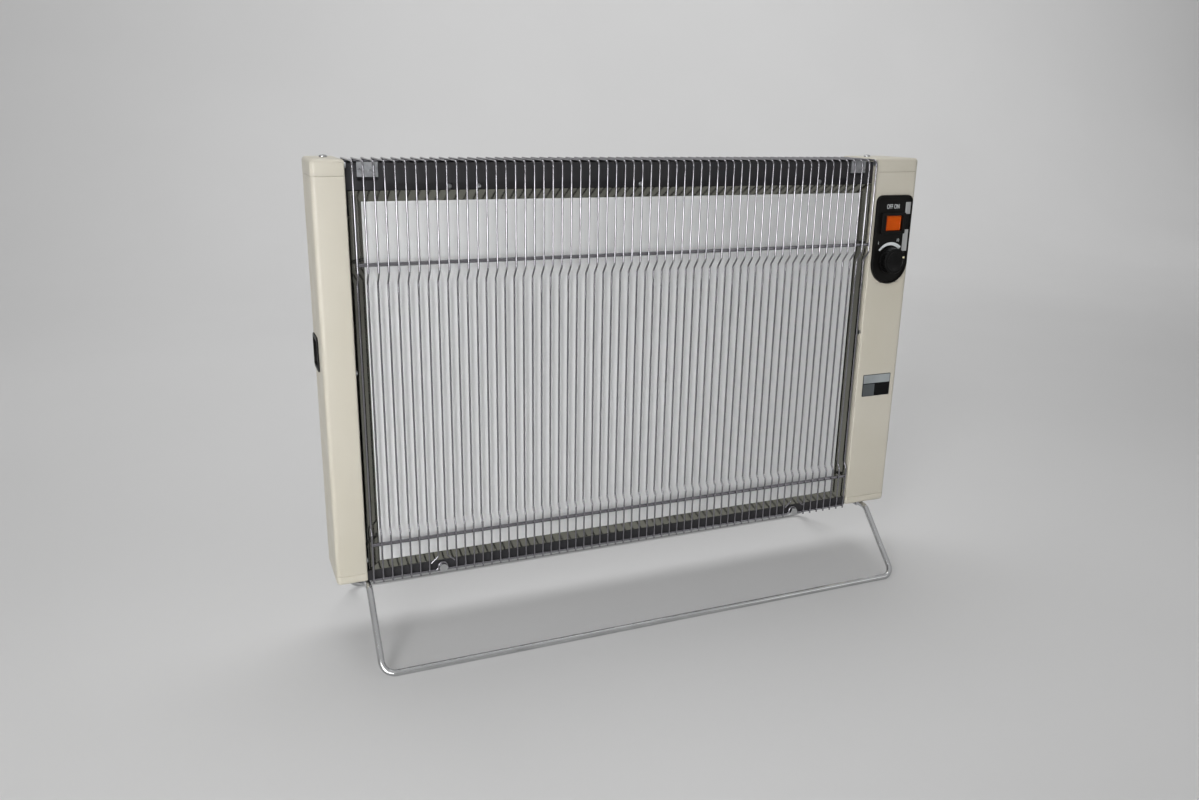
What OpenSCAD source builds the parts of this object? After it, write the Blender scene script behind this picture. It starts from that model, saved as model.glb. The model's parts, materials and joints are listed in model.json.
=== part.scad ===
// Ceramic panel heater. Two painted steel columns carry a white ceramic
// panel behind a bent wire guard, on two fixed loops of chromed rod.
// X runs to the right, Y to the back and Z up. Z = 0 is the floor, and
// X = Y = 0 is the middle of the body.

/* [Body] */
// Width of the left column
left_column_w = 32; // [30:1:40]
// Width of the right column, which holds the controls
right_column_w = 60; // [59:1:72]
// Height of the body, from the underside of the columns to their tops
body_h = 438; // [428:1:480]
// Depth of the columns
body_d = 70; // [66:1:80]
// Height of the underside of the body above the floor
floor_gap = 75; // [60:1:95]

/* [Columns] */
// Thickness of the painted sheet of the columns
sheet = 1.2; // [1:0.1:1.6]
// Radius of the outer vertical edges of a column
column_edge_r = 5; // [3:0.5:7]
// Radius of the vertical edges of a column beside the guard
column_inner_r = 1.5; // [0.8:0.1:2.5]
// Height of a top cap
top_cap_h = 16; // [13:1:20]
// Height of a bottom cap
bottom_cap_h = 10; // [8:1:13]
// Thickness of the roof or floor of a cap
cap_skin = 2; // [1.5:0.1:3]
// How far the lip of a cap reaches into its column
cap_lip_h = 5; // [3:0.5:8]
// Thickness of the lip of a cap
cap_lip_t = 1.5; // [1.2:0.1:2.2]
// Distance of the right column's back cover from the round of its outer edge
back_cover_land = 2; // [1:0.5:4]
// Width of the lips that the back cover is screwed to
back_lip_w = 8; // [7:0.5:11]
// Thickness of the steel posts inside the columns
post_t = 1.6; // [1.2:0.1:2.4]
// Distance of the left cap screw from the outer face of its column
left_cap_screw_x = 17; // [14:0.5:19]
// Distance of the right cap screw from the outer face of its column
right_cap_screw_x = 50; // [40:0.5:50]

/* [Handle cups] */
// Height of a handle cup's flange
cup_h = 36; // [30:1:46]
// Length of a handle cup's flange from front to back
cup_l = 36; // [30:1:40]
// Depth of a handle cup inside its column
cup_depth = 14; // [10:0.5:18]
// Width of the flange round a handle cup
cup_flange = 2.5; // [2:0.1:4]
// How far the flange of a handle cup stands out
cup_proud = 1.5; // [1:0.1:2.5]
// Wall of a handle cup
cup_wall = 1.5; // [1:0.1:2]
// Distance of the middle of a handle cup below the top of the body
cup_drop = 194; // [176:1:238]
// Distance of the middle of a handle cup behind the front of its column
cup_y = 45; // [43:0.5:46]

/* [Guard] */
// Number of upright guard wires
wire_count = 61; // [41:2:67]
// Distance between guard wires
wire_pitch = 10; // [8.5:0.5:12]
// Diameter of an upright guard wire
wire_d = 2; // [1.6:0.1:2.4]
// Diameter of a straight cross wire
cross_wire_d = 4; // [3:0.1:4.6]
// Diameter of the lowest cross wire, which humps over the pins
hump_wire_d = 2.6; // [2.2:0.1:3]
// Gap between a column and the nearest guard wire
guard_side_gap = 6; // [5:0.5:9]
// How far the upper part of the guard stands in front of the columns
guard_upper_proud = 5.5; // [3:0.5:8]
// How far the middle of the guard lies behind the front of the columns
guard_middle_set_back = 2.2; // [0.5:0.1:3]
// How far the lowest part of the guard stands in front of the columns
guard_lower_proud = 1.9; // [1.5:0.1:3]
// Distance of the upper bend of the guard below the top of the body
guard_upper_bend_drop = 114; // [90:1:130]
// Height of the lower bend of the guard
guard_lower_bend_z = 56; // [50:1:70]
// Height of the lower cross wire
lower_cross_z = 41; // [34:1:46]
// Distance of the upper cross wire above the upper bend
upper_cross_rise = 14; // [9:1:20]
// Radius of the top bend of a guard wire
guard_top_r = 6; // [4:0.5:8]
// How far the free ends of the guard wires hang below the body
wire_hang = 1.6; // [1:0.1:2]
// Number of wires between a column and a notch of the guard
notch_wires = 7; // [4:1:12]
// Diameter of the collar that the guard rests on at a notch
guard_pin_d = 7; // [6:0.5:7.5]

/* [Panel] */
// Distance from a column to the edge of the ceramic panel
panel_inset = 15; // [13:0.5:18]
// Distance of the front of the ceramic panel behind the front of the columns
panel_y = 10.6; // [10:0.1:12]
// Thickness of the ceramic panel
panel_t = 4; // [3:0.5:6]
// Height of the lower edge of the ceramic panel
panel_low_z = 18; // [16:0.5:22]
// Distance of the upper edge of the ceramic panel below the top of the body
panel_top_drop = 40.5; // [38:0.5:46]
// Distance from a column to the outer edge of the mirror strip
mirror_side_gap = 2.5; // [2:0.1:4]
// Distance of the front edge of the mirror strips behind the column fronts
mirror_front_y = 4.6; // [4.4:0.1:5]
// Height of the upper mirror strip
mirror_top_h = 10.5; // [8:0.5:12]
// Height of the lower mirror strip
mirror_low_h = 8; // [6:0.5:9]
// Thickness of the mirror sheet
mirror_t = 0.6; // [0.5:0.1:0.8]
// Diameter of the heating tube
element_d = 6; // [5:0.5:7]
// Number of runs of the heating tube, an even number
element_runs = 8; // [4:2:10]
// Thickness of the insulation board
board_t = 8; // [5:0.5:12]

/* [Casing] */
// Thickness of the sheet of the rear casing, tray and plates
casing_t = 1.2; // [1:0.1:1.5]
// Distance of the rear casing in front of the back of the columns
casing_set_in = 2; // [1:0.5:4]
// Height of the front lip of the bottom tray
tray_lip_h = 11; // [10:0.5:12]
// Distance of the tray's front lip behind the front of the columns
tray_front_y = 3; // [2.8:0.1:3.2]
// Distance of the front plate's upper edge below the top of the body
plate_top_drop = 3.6; // [3.4:0.1:4.5]
// Distance of the front plate behind the front of the columns
plate_y = 8; // [6:0.5:9]
// Height of the gap between the front plate and the upper mirror strip
plate_gap = 6.5; // [4:0.5:8]
// Width of an ear of the front plate, at each end of that gap
ear_w = 36; // [20:1:50]
// Width of a guard clip
clip_w = 20; // [14:1:28]
// Distance from a column to a guard clip
clip_inset = 12; // [8:1:20]
// Width of a louvre slot
louvre_w = 5; // [4:0.5:7]
// Height of a louvre slot
louvre_h = 46; // [30:1:60]
// Number of louvre slots in a row
louvre_count = 24; // [12:2:28]

/* [Controls] */
// Width of the control bezel
bezel_w = 51; // [49:0.5:54]
// Distance of the bezel's upper edge below the top of the body
bezel_top_drop = 42.7; // [36:0.1:60]
// Height of the bezel
bezel_h = 106; // [103:0.5:112]
// Thickness of the bezel's face
bezel_t = 2.5; // [2:0.1:3.5]
// How far the rim of the bezel stands above its face
bezel_rim = 1.5; // [1:0.1:2]
// Distance of the bezel's middle from the outer face of the right column
bezel_x = 31.5; // [31:0.5:32]
// Width of the power button
button_w = 24; // [20:0.5:24]
// Height of the power button
button_h = 17.5; // [14:0.5:19]
// Travel of the power button
button_travel = 3; // [2:0.1:3.5]
// Distance of the button's middle below the upper edge of the bezel
button_drop = 33; // [31:0.5:34]
// Clearance all round between moving and fixed control parts
play = 0.3; // [0.25:0.05:0.35]
// Diameter of the power knob
knob_d = 32; // [28:0.5:34]
// How far the power knob stands out of the bezel face
knob_h = 11.5; // [8:0.5:14]
// Distance of the knob's axis below the upper edge of the bezel
knob_drop = 77.3; // [76.5:0.1:78]
// Angle of the pointer dot above the knob's right-hand side
pointer_angle = 21; // [0:1:60]
// Diameter of the knob's spindle
spindle_d = 6; // [5:0.5:6.5]

/* [Safety switch] */
// Length of the pendulum, from its pivot to the middle of its bob
pendulum_l = 24; // [20:0.5:25]
// Radius of the pendulum's bob
bob_r = 6; // [5:0.5:6.5]
// Angle that the pendulum swings each way
swing = 15; // [8:1:16]

/* [Stand] */
// Diameter of the stand rod
rod_d = 7; // [6:0.5:8]
// Distance of a stand leg from the outer face of its column
leg_inset = 32; // [31.5:0.5:33]
// Slope of the stand legs below the horizontal
leg_angle = 46; // [38:1:60]
// Radius of the bend below the body
knee_r = 12; // [9:0.5:16]
// Radius of the bends at the ends of a floor bar
bar_corner_r = 14; // [10:0.5:20]
// Width of a saddle clamp along the rod
clamp_w = 12; // [9:0.5:14]
// Thickness of a saddle clamp
clamp_t = 1.5; // [1.2:0.1:2]
// Distance of a clamp screw from the rod's axis
clamp_screw_x = 11; // [10.5:0.5:12]

/* [Hidden] */
$fn = 48;
eps = 0.01;
opening_w = (wire_count - 1) * wire_pitch + 2 * guard_side_gap;
body_w = left_column_w + opening_w + right_column_w;
inner_left = left_column_w;
inner_right = left_column_w + opening_w;
seat = 0.1; // clearance round a piece that is fitted in a hole or groove
LEFT = -1;
RIGHT = 1;

// Heights and depths that several pieces share
wire_top_z = body_h - 2;
casing_back_y = body_d - casing_set_in;
casing_front_y = casing_back_y - casing_t;
casing_top_z = wire_top_z - wire_d / 2 - 0.2;
flange_front_y = 30;
top_flange_y = 60;
panel_top_z = body_h - panel_top_drop;
mirror_top_z = panel_top_z + mirror_top_h;
mirror_low_z = panel_low_z - mirror_low_h;
panel_back_y = panel_y + panel_t;
element_back_y = panel_back_y + element_d;
strap_t = 1.2;
board_gap = 9; // air between the straps and the insulation board
board_y = element_back_y + strap_t + board_gap;
board_back_y = board_y + board_t;
plate_top_z = body_h - plate_top_drop;
plate_low_z = mirror_top_z + plate_gap;
rail_lap = 14;

// Places of fasteners, in the frame of a column or of the body
cup_z = body_h - cup_drop;
side_screw_y = 5;
side_screw_z = [bottom_cap_h + 13, cup_z - 15, body_h - 6];
cap_screw_d = 4;
small_screw_d = 3;
plug_gap = 0.2; // between a cap's lip and its column
post_gap = 1; // between a cap's lip and the post
post_low_z = bottom_cap_h + cap_lip_h + post_gap;
post_high_z = body_h - top_cap_h - cap_lip_h - post_gap;
post_front_y = 2;
rear_low_screws = [for (k = [0.045, 0.5, 0.955]) [inner_left + k * opening_w, tray_lip_h / 2]];
rear_row_z = 120;
rear_row_drop = 108;
rear_high_screws = [for (k = [0.2, 0.8], z = [rear_row_z, body_h - rear_row_drop])
    [inner_left + k * opening_w, z]];

// Controls, in the frame of the body
ctrl_x = body_w - bezel_x;
bezel_top_z = body_h - bezel_top_drop;
bezel_arc_z = bezel_top_z - bezel_h + bezel_w / 2;
button_z = bezel_top_z - button_drop;
knob_z = bezel_top_z - knob_drop;
face_y = -bezel_t;
frame_proud = 3.5;
frame_front_y = face_y - frame_proud;
housing_wall = 3;
housing_back_y = 14;
button_recess = 4;
button_front_y = frame_front_y + button_recess;
button_back_y = button_front_y + 10;
bracket_y = sheet;
bracket_t = 1.2;
bracket_w = 50;
bracket_back_y = bracket_y + bracket_t;
knob_back_y = face_y - play;
knob_front_y = face_y - knob_h;
regulator_r = 11;
regulator_back_y = bracket_back_y + 13;
bushing_d = spindle_d + 2.4;
pcb_y = 38;
pcb_t = 1.6;
pcb_low_z = bezel_top_z - bezel_h + 1;
pcb_h = bezel_h + 3;
pcb_w = 46;

// Terminal block and safety switch, on the right-hand post
post_face_x = inner_right + sheet + post_t;
block_z = 70;
block_h = 40;
block_y = 20;
block_d = 30;
block_t = 20;
lead_y = 28;
lead_z = block_z - 15;
lead_hole_d = 10.4;
tip_z = 130;
tip_h = pendulum_l + bob_r + 16;
tip_y = 20;
tip_wall = 2;
bob_gap = 0.8; // between the bob and its case at the end of its swing
tip_d = 2 * (pendulum_l * sin(swing) + bob_r + bob_gap + tip_wall);
tip_t = 20;
pivot_y = tip_y + tip_d / 2;
pivot_z = tip_z + tip_h - 7;
pin_d = 3;

// Stand
rod_z = floor_gap - rod_d / 2;
leg_x = body_w / 2 - leg_inset;
clamp_y = body_d / 4;
clamp_r = rod_d / 2 + seat;

module in_body() {
    translate([-body_w / 2, -body_d / 2, floor_gap]) children();
}

// A column's own frame has x = 0 on its outer face and grows inwards
module in_column(side) {
    in_body() {
        if (side == LEFT) children();
        else translate([body_w, 0, 0]) mirror([1, 0, 0]) children();
    }
}

function column_w(side) = side == LEFT ? left_column_w : right_column_w;
function cap_screw_x(side) = side == LEFT ? left_cap_screw_x : right_cap_screw_x;

module slab_x(x0, x1) {
    translate([x0, 0, 0]) rotate([90, 0, 90]) linear_extrude(x1 - x0) children();
}

module slab_y(y0, y1) {
    translate([0, y1, 0]) rotate([90, 0, 0]) linear_extrude(y1 - y0) children();
}

module slab_z(z0, z1) {
    translate([0, 0, z0]) linear_extrude(z1 - z0) children();
}

module bar_x(x0, x1, d) {
    translate([x0, 0, 0]) rotate([0, 90, 0]) cylinder(h = x1 - x0, d = d);
}

module bar_y(y0, y1, d) {
    translate([0, y1, 0]) rotate([90, 0, 0]) cylinder(h = y1 - y0, d = d);
}

module bar_z(z0, z1, d) {
    translate([0, 0, z0]) cylinder(h = z1 - z0, d = d);
}

module block(x, y, z) {
    translate([x[0], y[0], z[0]]) cube([x[1] - x[0], y[1] - y[0], z[1] - z[0]]);
}

// A rectangle about the origin with four round corners
module round_rect(w, h, r) {
    square([w - 2 * r, h], center = true);
    square([w, h - 2 * r], center = true);
    for (x = [r - w / 2, w / 2 - r], y = [r - h / 2, h / 2 - r])
        translate([x, y]) circle(r = r);
}

// A screw that points along -Y, with its head's seat at y = 0
module screw_y(shank_l, d) {
    bar_y(-shank_l, eps, d);
    bar_y(0, d * 0.6, d * 2);
}

// Sweep of a round wire along points, as one closed skin
function unit(v) = v / norm(v);
function path_dir(p, i) =
    let (a = p[max(i - 1, 0)], b = p[i], c = p[min(i + 1, len(p) - 1)])
    i == 0 ? unit(c - b) : i == len(p) - 1 ? unit(b - a) : unit(unit(b - a) + unit(c - b));
function ring(at, dir, r, sides, ref) =
    let (u = unit(cross(ref, dir)), v = cross(dir, u))
    [for (k = [0:sides - 1]) at + r * (u * cos(k * 360 / sides) + v * sin(k * 360 / sides))];

module wire(p, r, sides, ref) {
    n = len(p);
    last = (n - 1) * sides;
    pts = [for (i = [0:n - 1]) each ring(p[i], path_dir(p, i), r, sides, ref)];
    skin = [for (i = [0:n - 2], k = [0:sides - 1])
        let (a = i * sides + k, b = i * sides + (k + 1) % sides)
        each [[a, a + sides, b], [b, a + sides, b + sides]]];
    caps = [for (k = [1:sides - 2])
        each [[0, k, k + 1], [last, last + k + 1, last + k]]];
    polyhedron(points = pts, faces = concat(skin, caps));
}

// Outline of a column, seen from above, drawn smaller by inset
module column_outline(w, inset = 0) {
    ro = max(column_edge_r - inset, 0.3);
    ri = max(column_inner_r - inset, 0.3);
    x0 = inset;
    x1 = w - inset;
    y0 = inset;
    y1 = body_d - inset;
    translate([x0 + ro, y0]) square([x1 - x0 - ro - ri, y1 - y0]);
    translate([x0, y0 + ro]) square([ro + eps, y1 - y0 - 2 * ro]);
    translate([x1 - ri - eps, y0 + ri]) square([ri + eps, y1 - y0 - 2 * ri]);
    for (y = [y0 + ro, y1 - ro]) translate([x0 + ro, y]) circle(r = ro);
    for (y = [y0 + ri, y1 - ri]) translate([x1 - ri, y]) circle(r = ri);
}

// Holes through the inner wall of a column for the side screws
module side_screw_holes(side) {
    for (z = side_screw_z)
        translate([0, side_screw_y, z])
            bar_x(column_w(side) - 8, column_w(side) + 1, small_screw_d + 2 * seat);
}

// Hole for the panel's leads, through the casing, column and post
module lead_hole() {
    translate([0, lead_y, lead_z]) bar_x(inner_right - 3, post_face_x + 3, lead_hole_d);
}

module column_cover(side) {
    w = column_w(side);
    difference() {
        slab_z(bottom_cap_h, body_h - top_cap_h)
            difference() {
                column_outline(w);
                column_outline(w, sheet);
            }
        translate([0, cup_y, cup_z])
            slab_x(-1, sheet + 1)
                round_rect(cup_l - 2 * cup_flange + 2 * seat,
                    cup_h - 2 * cup_flange + 2 * seat, 3);
        side_screw_holes(side);
    }
}

module left_column_cover() {
    color([0.84, 0.81, 0.76]) in_column(LEFT) column_cover(LEFT);
}

// The right column is open behind. A flat cover closes it, flush with its
// back, and is screwed to two lips that lie inside it.
back_seam = 0.3;
back_cover_x = [column_edge_r + back_cover_land,
    right_column_w - column_edge_r - back_cover_land];
back_screw_inset = 3.6;
back_screw_margin = 14;
back_screws = [for (x = [back_cover_x[0] + back_screw_inset, back_cover_x[1] - back_screw_inset],
    z = [post_low_z + back_screw_margin, post_high_z - back_screw_margin]) [x, z]];

module right_column_cover() {
    color([0.84, 0.81, 0.76]) difference() {
        in_column(RIGHT) difference() {
            union() {
                difference() {
                    column_cover(RIGHT);
                    block(back_cover_x + [-back_seam, back_seam],
                        [body_d - sheet - eps, body_d + 1], [0, body_h]);
                }
                for (x = [[column_edge_r, back_cover_x[0] + back_lip_w],
                        [back_cover_x[1] - back_lip_w, right_column_w - column_edge_r]])
                    block(x, [body_d - 2 * sheet, body_d - sheet + eps], [post_low_z, post_high_z]);
            }
            rear_holes(back_screws, body_d - 2 * sheet - 1, body_d + 1);
        }
        in_body() {
            slab_y(-1, sheet + 1) bezel_outline(2.5);
            lead_hole();
        }
    }
}

module right_back_cover() {
    color([0.84, 0.81, 0.76]) difference() {
        in_column(RIGHT) difference() {
            block(back_cover_x, [body_d - sheet + eps, body_d],
                [bottom_cap_h + back_seam, body_h - top_cap_h - back_seam]);
            rear_holes(back_screws, body_d - sheet - 1, body_d + 1);
        }
        in_body() translate([gland_x, 0, gland_z])
            bar_y(body_d - sheet - 1, body_d + 1, gland_d + 2 * seat);
    }
}

module cap_spigot(w, z0, z1) {
    slab_z(z0, z1) column_outline(w, sheet + plug_gap);
}

module cap_cavity(w, z0, z1) {
    slab_z(z0, z1) column_outline(w, sheet + plug_gap + cap_lip_t);
}

module top_cap(side) {
    w = column_w(side);
    z = body_h - top_cap_h;
    color([0.84, 0.81, 0.76]) in_column(side) difference() {
        union() {
            slab_z(z, body_h) column_outline(w);
            cap_spigot(w, z - cap_lip_h, z + eps);
        }
        cap_cavity(w, z - cap_lip_h - 1, body_h - cap_skin);
        translate([cap_screw_x(side), body_d / 2, 0])
            bar_z(body_h - cap_skin - 1, body_h + 1, cap_screw_d + 2 * seat);
        side_screw_holes(side);
    }
}

module bottom_cap(side) {
    w = column_w(side);
    color([0.84, 0.81, 0.76]) difference() {
        in_column(side) difference() {
            union() {
                slab_z(0, bottom_cap_h) column_outline(w);
                cap_spigot(w, bottom_cap_h - eps, bottom_cap_h + cap_lip_h);
            }
            cap_cavity(w, cap_skin, bottom_cap_h + cap_lip_h + 1);
            translate([cap_screw_x(side), body_d / 2, 0])
                bar_z(-1, cap_skin + 1, cap_screw_d + 2 * seat);
        }
        clamp_holes();
    }
}

module left_top_cap() {
    top_cap(LEFT);
}

module right_top_cap() {
    top_cap(RIGHT);
}

module left_bottom_cap() {
    bottom_cap(LEFT);
}

module right_bottom_cap() {
    bottom_cap(RIGHT);
}

// A folded steel post stands against the inner wall of each column
module post(side) {
    x1 = column_w(side) - sheet;
    x0 = x1 - post_t;
    tab_x = cap_screw_x(side) - 2 * cap_screw_d;
    tab_half = 10;
    difference() {
        union() {
            block([x0, x1], [post_front_y, body_d - 12], [post_low_z, post_high_z]);
            for (z = [post_low_z, post_high_z - post_t])
                block([tab_x, x1], [body_d / 2 - tab_half, body_d / 2 + tab_half], [z, z + post_t]);
        }
        side_screw_holes(side);
        translate([cap_screw_x(side), body_d / 2, 0])
            bar_z(post_low_z - 1, post_high_z + 1, cap_screw_d + 2 * seat);
    }
}

module left_post() {
    color([0.6, 0.61, 0.63]) in_column(LEFT) post(LEFT);
}

module right_post() {
    color([0.6, 0.61, 0.63]) difference() {
        in_column(RIGHT) post(RIGHT);
        in_body() lead_hole();
    }
}

// One screw goes down through each top cap and one up through each bottom
// cap, into the tabs of the post
cap_head_h = 2.4;
base_head_h = 2;
cap_tip_l = 2;
cross_half = [2.2, 0.5];

module cap_screws() {
    color([0.8, 0.8, 0.82])
        for (side = [LEFT, RIGHT])
            in_column(side) translate([cap_screw_x(side), body_d / 2, 0]) {
                difference() {
                    union() {
                        bar_z(post_high_z - post_t - cap_tip_l, body_h + eps, cap_screw_d);
                        bar_z(body_h, body_h + cap_head_h, cap_screw_d * 2);
                    }
                    for (a = [0, 90])
                        rotate(a) block([-cross_half[0], cross_half[0]],
                            [-cross_half[1], cross_half[1]],
                            [body_h + cap_head_h / 2, body_h + cap_head_h + 1]);
                }
                bar_z(-eps, post_low_z + post_t + cap_tip_l, cap_screw_d);
                bar_z(-base_head_h, 0, cap_screw_d * 2);
            }
}

module side_screws() {
    color([0.75, 0.75, 0.77])
        for (side = [LEFT, RIGHT], z = side_screw_z)
            in_column(side) translate([0, side_screw_y, z]) {
                bar_x(column_w(side) - 7, column_w(side) + eps, small_screw_d);
                bar_x(column_w(side), column_w(side) + 1.5, small_screw_d * 1.8);
            }
}

module handle_cup(side) {
    color([0.07, 0.07, 0.07]) in_column(side) translate([0, cup_y, cup_z])
        difference() {
            union() {
                slab_x(-cup_proud, 0) round_rect(cup_l, cup_h, 4);
                slab_x(-eps, cup_depth)
                    round_rect(cup_l - 2 * cup_flange, cup_h - 2 * cup_flange, 3);
            }
            slab_x(-cup_proud - 1, cup_depth - cup_wall)
                round_rect(cup_l - 2 * cup_flange - 2 * cup_wall,
                    cup_h - 2 * cup_flange - 2 * cup_wall, 2);
        }
}

module left_handle_cup() {
    handle_cup(LEFT);
}

module right_handle_cup() {
    handle_cup(RIGHT);
}

// Upright slot with round ends, about the origin
module slot(w, h) {
    square([w, h - w], center = true);
    for (y = [w / 2 - h / 2, h / 2 - w / 2]) translate([0, y]) circle(d = w);
}

// Louvres are spaced evenly between the two ends of the casing
louvre_margin = 30;
louvre_low_z = 62;
louvre_drop = 58;
tray_slot_l = 22;
tray_slot_inset = 29;
louvre_pitch = (opening_w - 2 * louvre_margin) / (louvre_count - 1);
function louvre_x(i) = inner_left + louvre_margin + i * louvre_pitch;

// Holes for rear screws whose places are given as [x, z]
module rear_holes(places, y0, y1) {
    for (s = places) translate([s[0], 0, s[1]]) bar_y(y0, y1, small_screw_d + 2 * seat);
}

module rear_casing() {
    color([0.2, 0.2, 0.21]) in_body() difference() {
        union() {
            slab_y(casing_front_y, casing_back_y) difference() {
                translate([inner_left, 0]) square([opening_w, casing_top_z]);
                for (i = [0:louvre_count - 1], z = [louvre_low_z, body_h - louvre_drop])
                    translate([louvre_x(i), z]) slot(louvre_w, louvre_h);
            }
            block([inner_left, inner_right], [top_flange_y, casing_front_y + eps],
                [casing_top_z - casing_t, casing_top_z]);
            for (x = [inner_left, inner_right - casing_t])
                block([x, x + casing_t], [flange_front_y, casing_front_y + eps],
                    [tray_lip_h + 1, casing_top_z]);
        }
        rear_holes(concat(rear_low_screws, rear_high_screws), top_flange_y, body_d);
        lead_hole();
    }
}

module rear_screws() {
    color([0.6, 0.61, 0.63]) in_body() {
        for (s = rear_low_screws)
            translate([s[0], casing_back_y, s[1]]) screw_y(5, small_screw_d);
        for (s = rear_high_screws)
            translate([s[0], casing_back_y, s[1]])
                screw_y(casing_back_y - board_y - 2, small_screw_d);
        for (s = back_screws)
            translate([body_w - s[0], body_d, s[1]]) screw_y(5, small_screw_d);
    }
}

spacer_d = 8;

module board_spacers() {
    color([0.8, 0.8, 0.8]) in_body() difference() {
        for (s = rear_high_screws)
            translate([s[0], 0, s[1]]) bar_y(board_back_y, casing_front_y, spacer_d);
        rear_holes(rear_high_screws, board_back_y - 1, casing_front_y + 1);
    }
}

// Left edges of the two guard clips
clip_places = [inner_left + clip_inset, inner_right - clip_inset - clip_w];
clip_t = 1;
clip_slot_drop = 12.5;
clip_slot_h = 4.5;
clip_slot_z = plate_top_z - clip_slot_drop;

module front_plate() {
    color([0.19, 0.19, 0.2]) in_body() difference() {
        union() {
            block([inner_left, inner_right], [plate_y, plate_y + casing_t],
                [plate_low_z, plate_top_z - 0.6]);
            block([inner_left, inner_right], [plate_y, panel_back_y],
                [plate_low_z, plate_low_z + casing_t]);
            for (x = [inner_left, inner_right - ear_w])
                block([x, x + ear_w], [plate_y, plate_y + casing_t],
                    [mirror_top_z + 0.5, plate_low_z + eps]);
        }
        for (x = clip_places)
            block([x, x + clip_w], [plate_y - 1, plate_y + casing_t + 1],
                [clip_slot_z - clip_slot_h, clip_slot_z]);
    }
}

module guard_clips() {
    color([0.82, 0.84, 0.86]) in_body()
        for (x = clip_places) {
            block([x, x + clip_w], [plate_y - clip_t, plate_y],
                [clip_slot_z - clip_t, wire_top_z - wire_d / 2]);
            block([x, x + clip_w], [plate_y - eps, plate_y + casing_t + 3],
                [clip_slot_z - clip_t, clip_slot_z]);
        }
}

module bottom_tray() {
    color([0.19, 0.19, 0.2]) difference() {
        in_body() difference() {
            union() {
                block([inner_left, inner_right], [tray_front_y, casing_front_y], [0, casing_t]);
                for (y = [tray_front_y, casing_front_y - casing_t])
                    block([inner_left, inner_right], [y, y + casing_t], [0, tray_lip_h]);
            }
            slab_z(-1, casing_t + 1)
                for (i = [1:louvre_count - 2])
                    translate([louvre_x(i), casing_front_y - tray_slot_inset])
                        slot(louvre_w, tray_slot_l);
            rear_holes(rear_low_screws, top_flange_y, body_d);
        }
        clamp_holes();
    }
}

// Middles of the two notches in the guard, where it rests on pins
notch_x = [inner_left + guard_side_gap + (notch_wires + 0.5) * wire_pitch,
    inner_right - guard_side_gap - (notch_wires + 0.5) * wire_pitch];
pin_z = guard_pin_d / 2 + 0.5;

module guard_pins() {
    color([0.8, 0.8, 0.82]) in_body()
        for (x = notch_x)
            translate([x, 0, pin_z]) {
                bar_y(-guard_lower_proud, tray_front_y, guard_pin_d);
                bar_y(-guard_lower_proud - 2, -guard_lower_proud + eps, guard_pin_d + 2);
            }
}

// The four mirror strips slope from the front edge back to the panel
mirror_x = [inner_left + mirror_side_gap, inner_right - mirror_side_gap];
panel_x = [inner_left + panel_inset, inner_right - panel_inset];

// Section of a mirror strip: u runs from its outer edge to its inner edge
module mirror_section(u) {
    polygon([[0, mirror_front_y], [u, panel_y], [u, panel_y + mirror_t],
        [mirror_t, mirror_front_y + 2 * mirror_t], [mirror_t, panel_back_y], [0, panel_back_y]]);
}

module mirror_mitre(points) {
    slab_y(mirror_front_y - 1, panel_back_y + 1) polygon(points);
}

mirror_u = panel_inset - mirror_side_gap;
mitre_left = [[mirror_x[0], mirror_low_z], [panel_x[0], panel_low_z],
    [panel_x[0], panel_top_z], [mirror_x[0], mirror_top_z]];
mitre_top = [[mirror_x[0], mirror_top_z], [panel_x[0], panel_top_z],
    [panel_x[1], panel_top_z], [mirror_x[1], mirror_top_z]];
mitre_bottom = [[mirror_x[0], mirror_low_z], [panel_x[0], panel_low_z],
    [panel_x[1], panel_low_z], [mirror_x[1], mirror_low_z]];

module side_reflector() {
    intersection() {
        slab_z(mirror_low_z, mirror_top_z)
            translate([mirror_x[0], 0]) mirror_section(mirror_u);
        mirror_mitre(mitre_left);
    }
}

module reflector_left() {
    color([0.8, 0.82, 0.85]) in_body() side_reflector();
}

module reflector_right() {
    color([0.8, 0.82, 0.85]) in_body()
        translate([inner_left + inner_right, 0, 0]) mirror([1, 0, 0]) side_reflector();
}

// A section drawn as (height, y), swept along X
module sweep_x(x0, x1) {
    translate([x0, 0, 0]) rotate([0, -90, 0]) mirror([0, 0, 1])
        linear_extrude(x1 - x0) children();
}

module reflector_top() {
    color([0.8, 0.82, 0.85]) in_body() intersection() {
        sweep_x(mirror_x[0], mirror_x[1])
            translate([mirror_top_z, 0]) mirror([1, 0]) mirror_section(mirror_top_h);
        mirror_mitre(mitre_top);
    }
}

module reflector_bottom() {
    color([0.8, 0.82, 0.85]) in_body() intersection() {
        sweep_x(mirror_x[0], mirror_x[1])
            translate([mirror_low_z, 0]) mirror_section(mirror_low_h);
        mirror_mitre(mitre_bottom);
    }
}

module ceramic_panel() {
    color([0.86, 0.86, 0.87]) in_body()
        block(panel_x, [panel_y, panel_back_y], [panel_low_z, panel_top_z]);
}

// Z rails behind the panel's upper and lower edges carry it
rail_x = [inner_left + casing_t, inner_right - casing_t];
rail_top_low_z = panel_top_z - rail_lap;
rail_low_top_z = panel_low_z + rail_lap;
rail_foot = 9;
rail_ear_w = 12;
rail_ear_lap = 6;

module panel_rail_top() {
    color([0.19, 0.19, 0.2]) in_body() {
        block(rail_x, [panel_back_y, panel_back_y + casing_t], [rail_top_low_z, plate_top_z - 4]);
        for (x = [rail_x[0], rail_x[1] - rail_ear_w])
            block([x, x + rail_ear_w], [panel_back_y, flange_front_y + rail_ear_lap],
                [rail_top_low_z, rail_top_low_z + casing_t]);
    }
}

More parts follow.
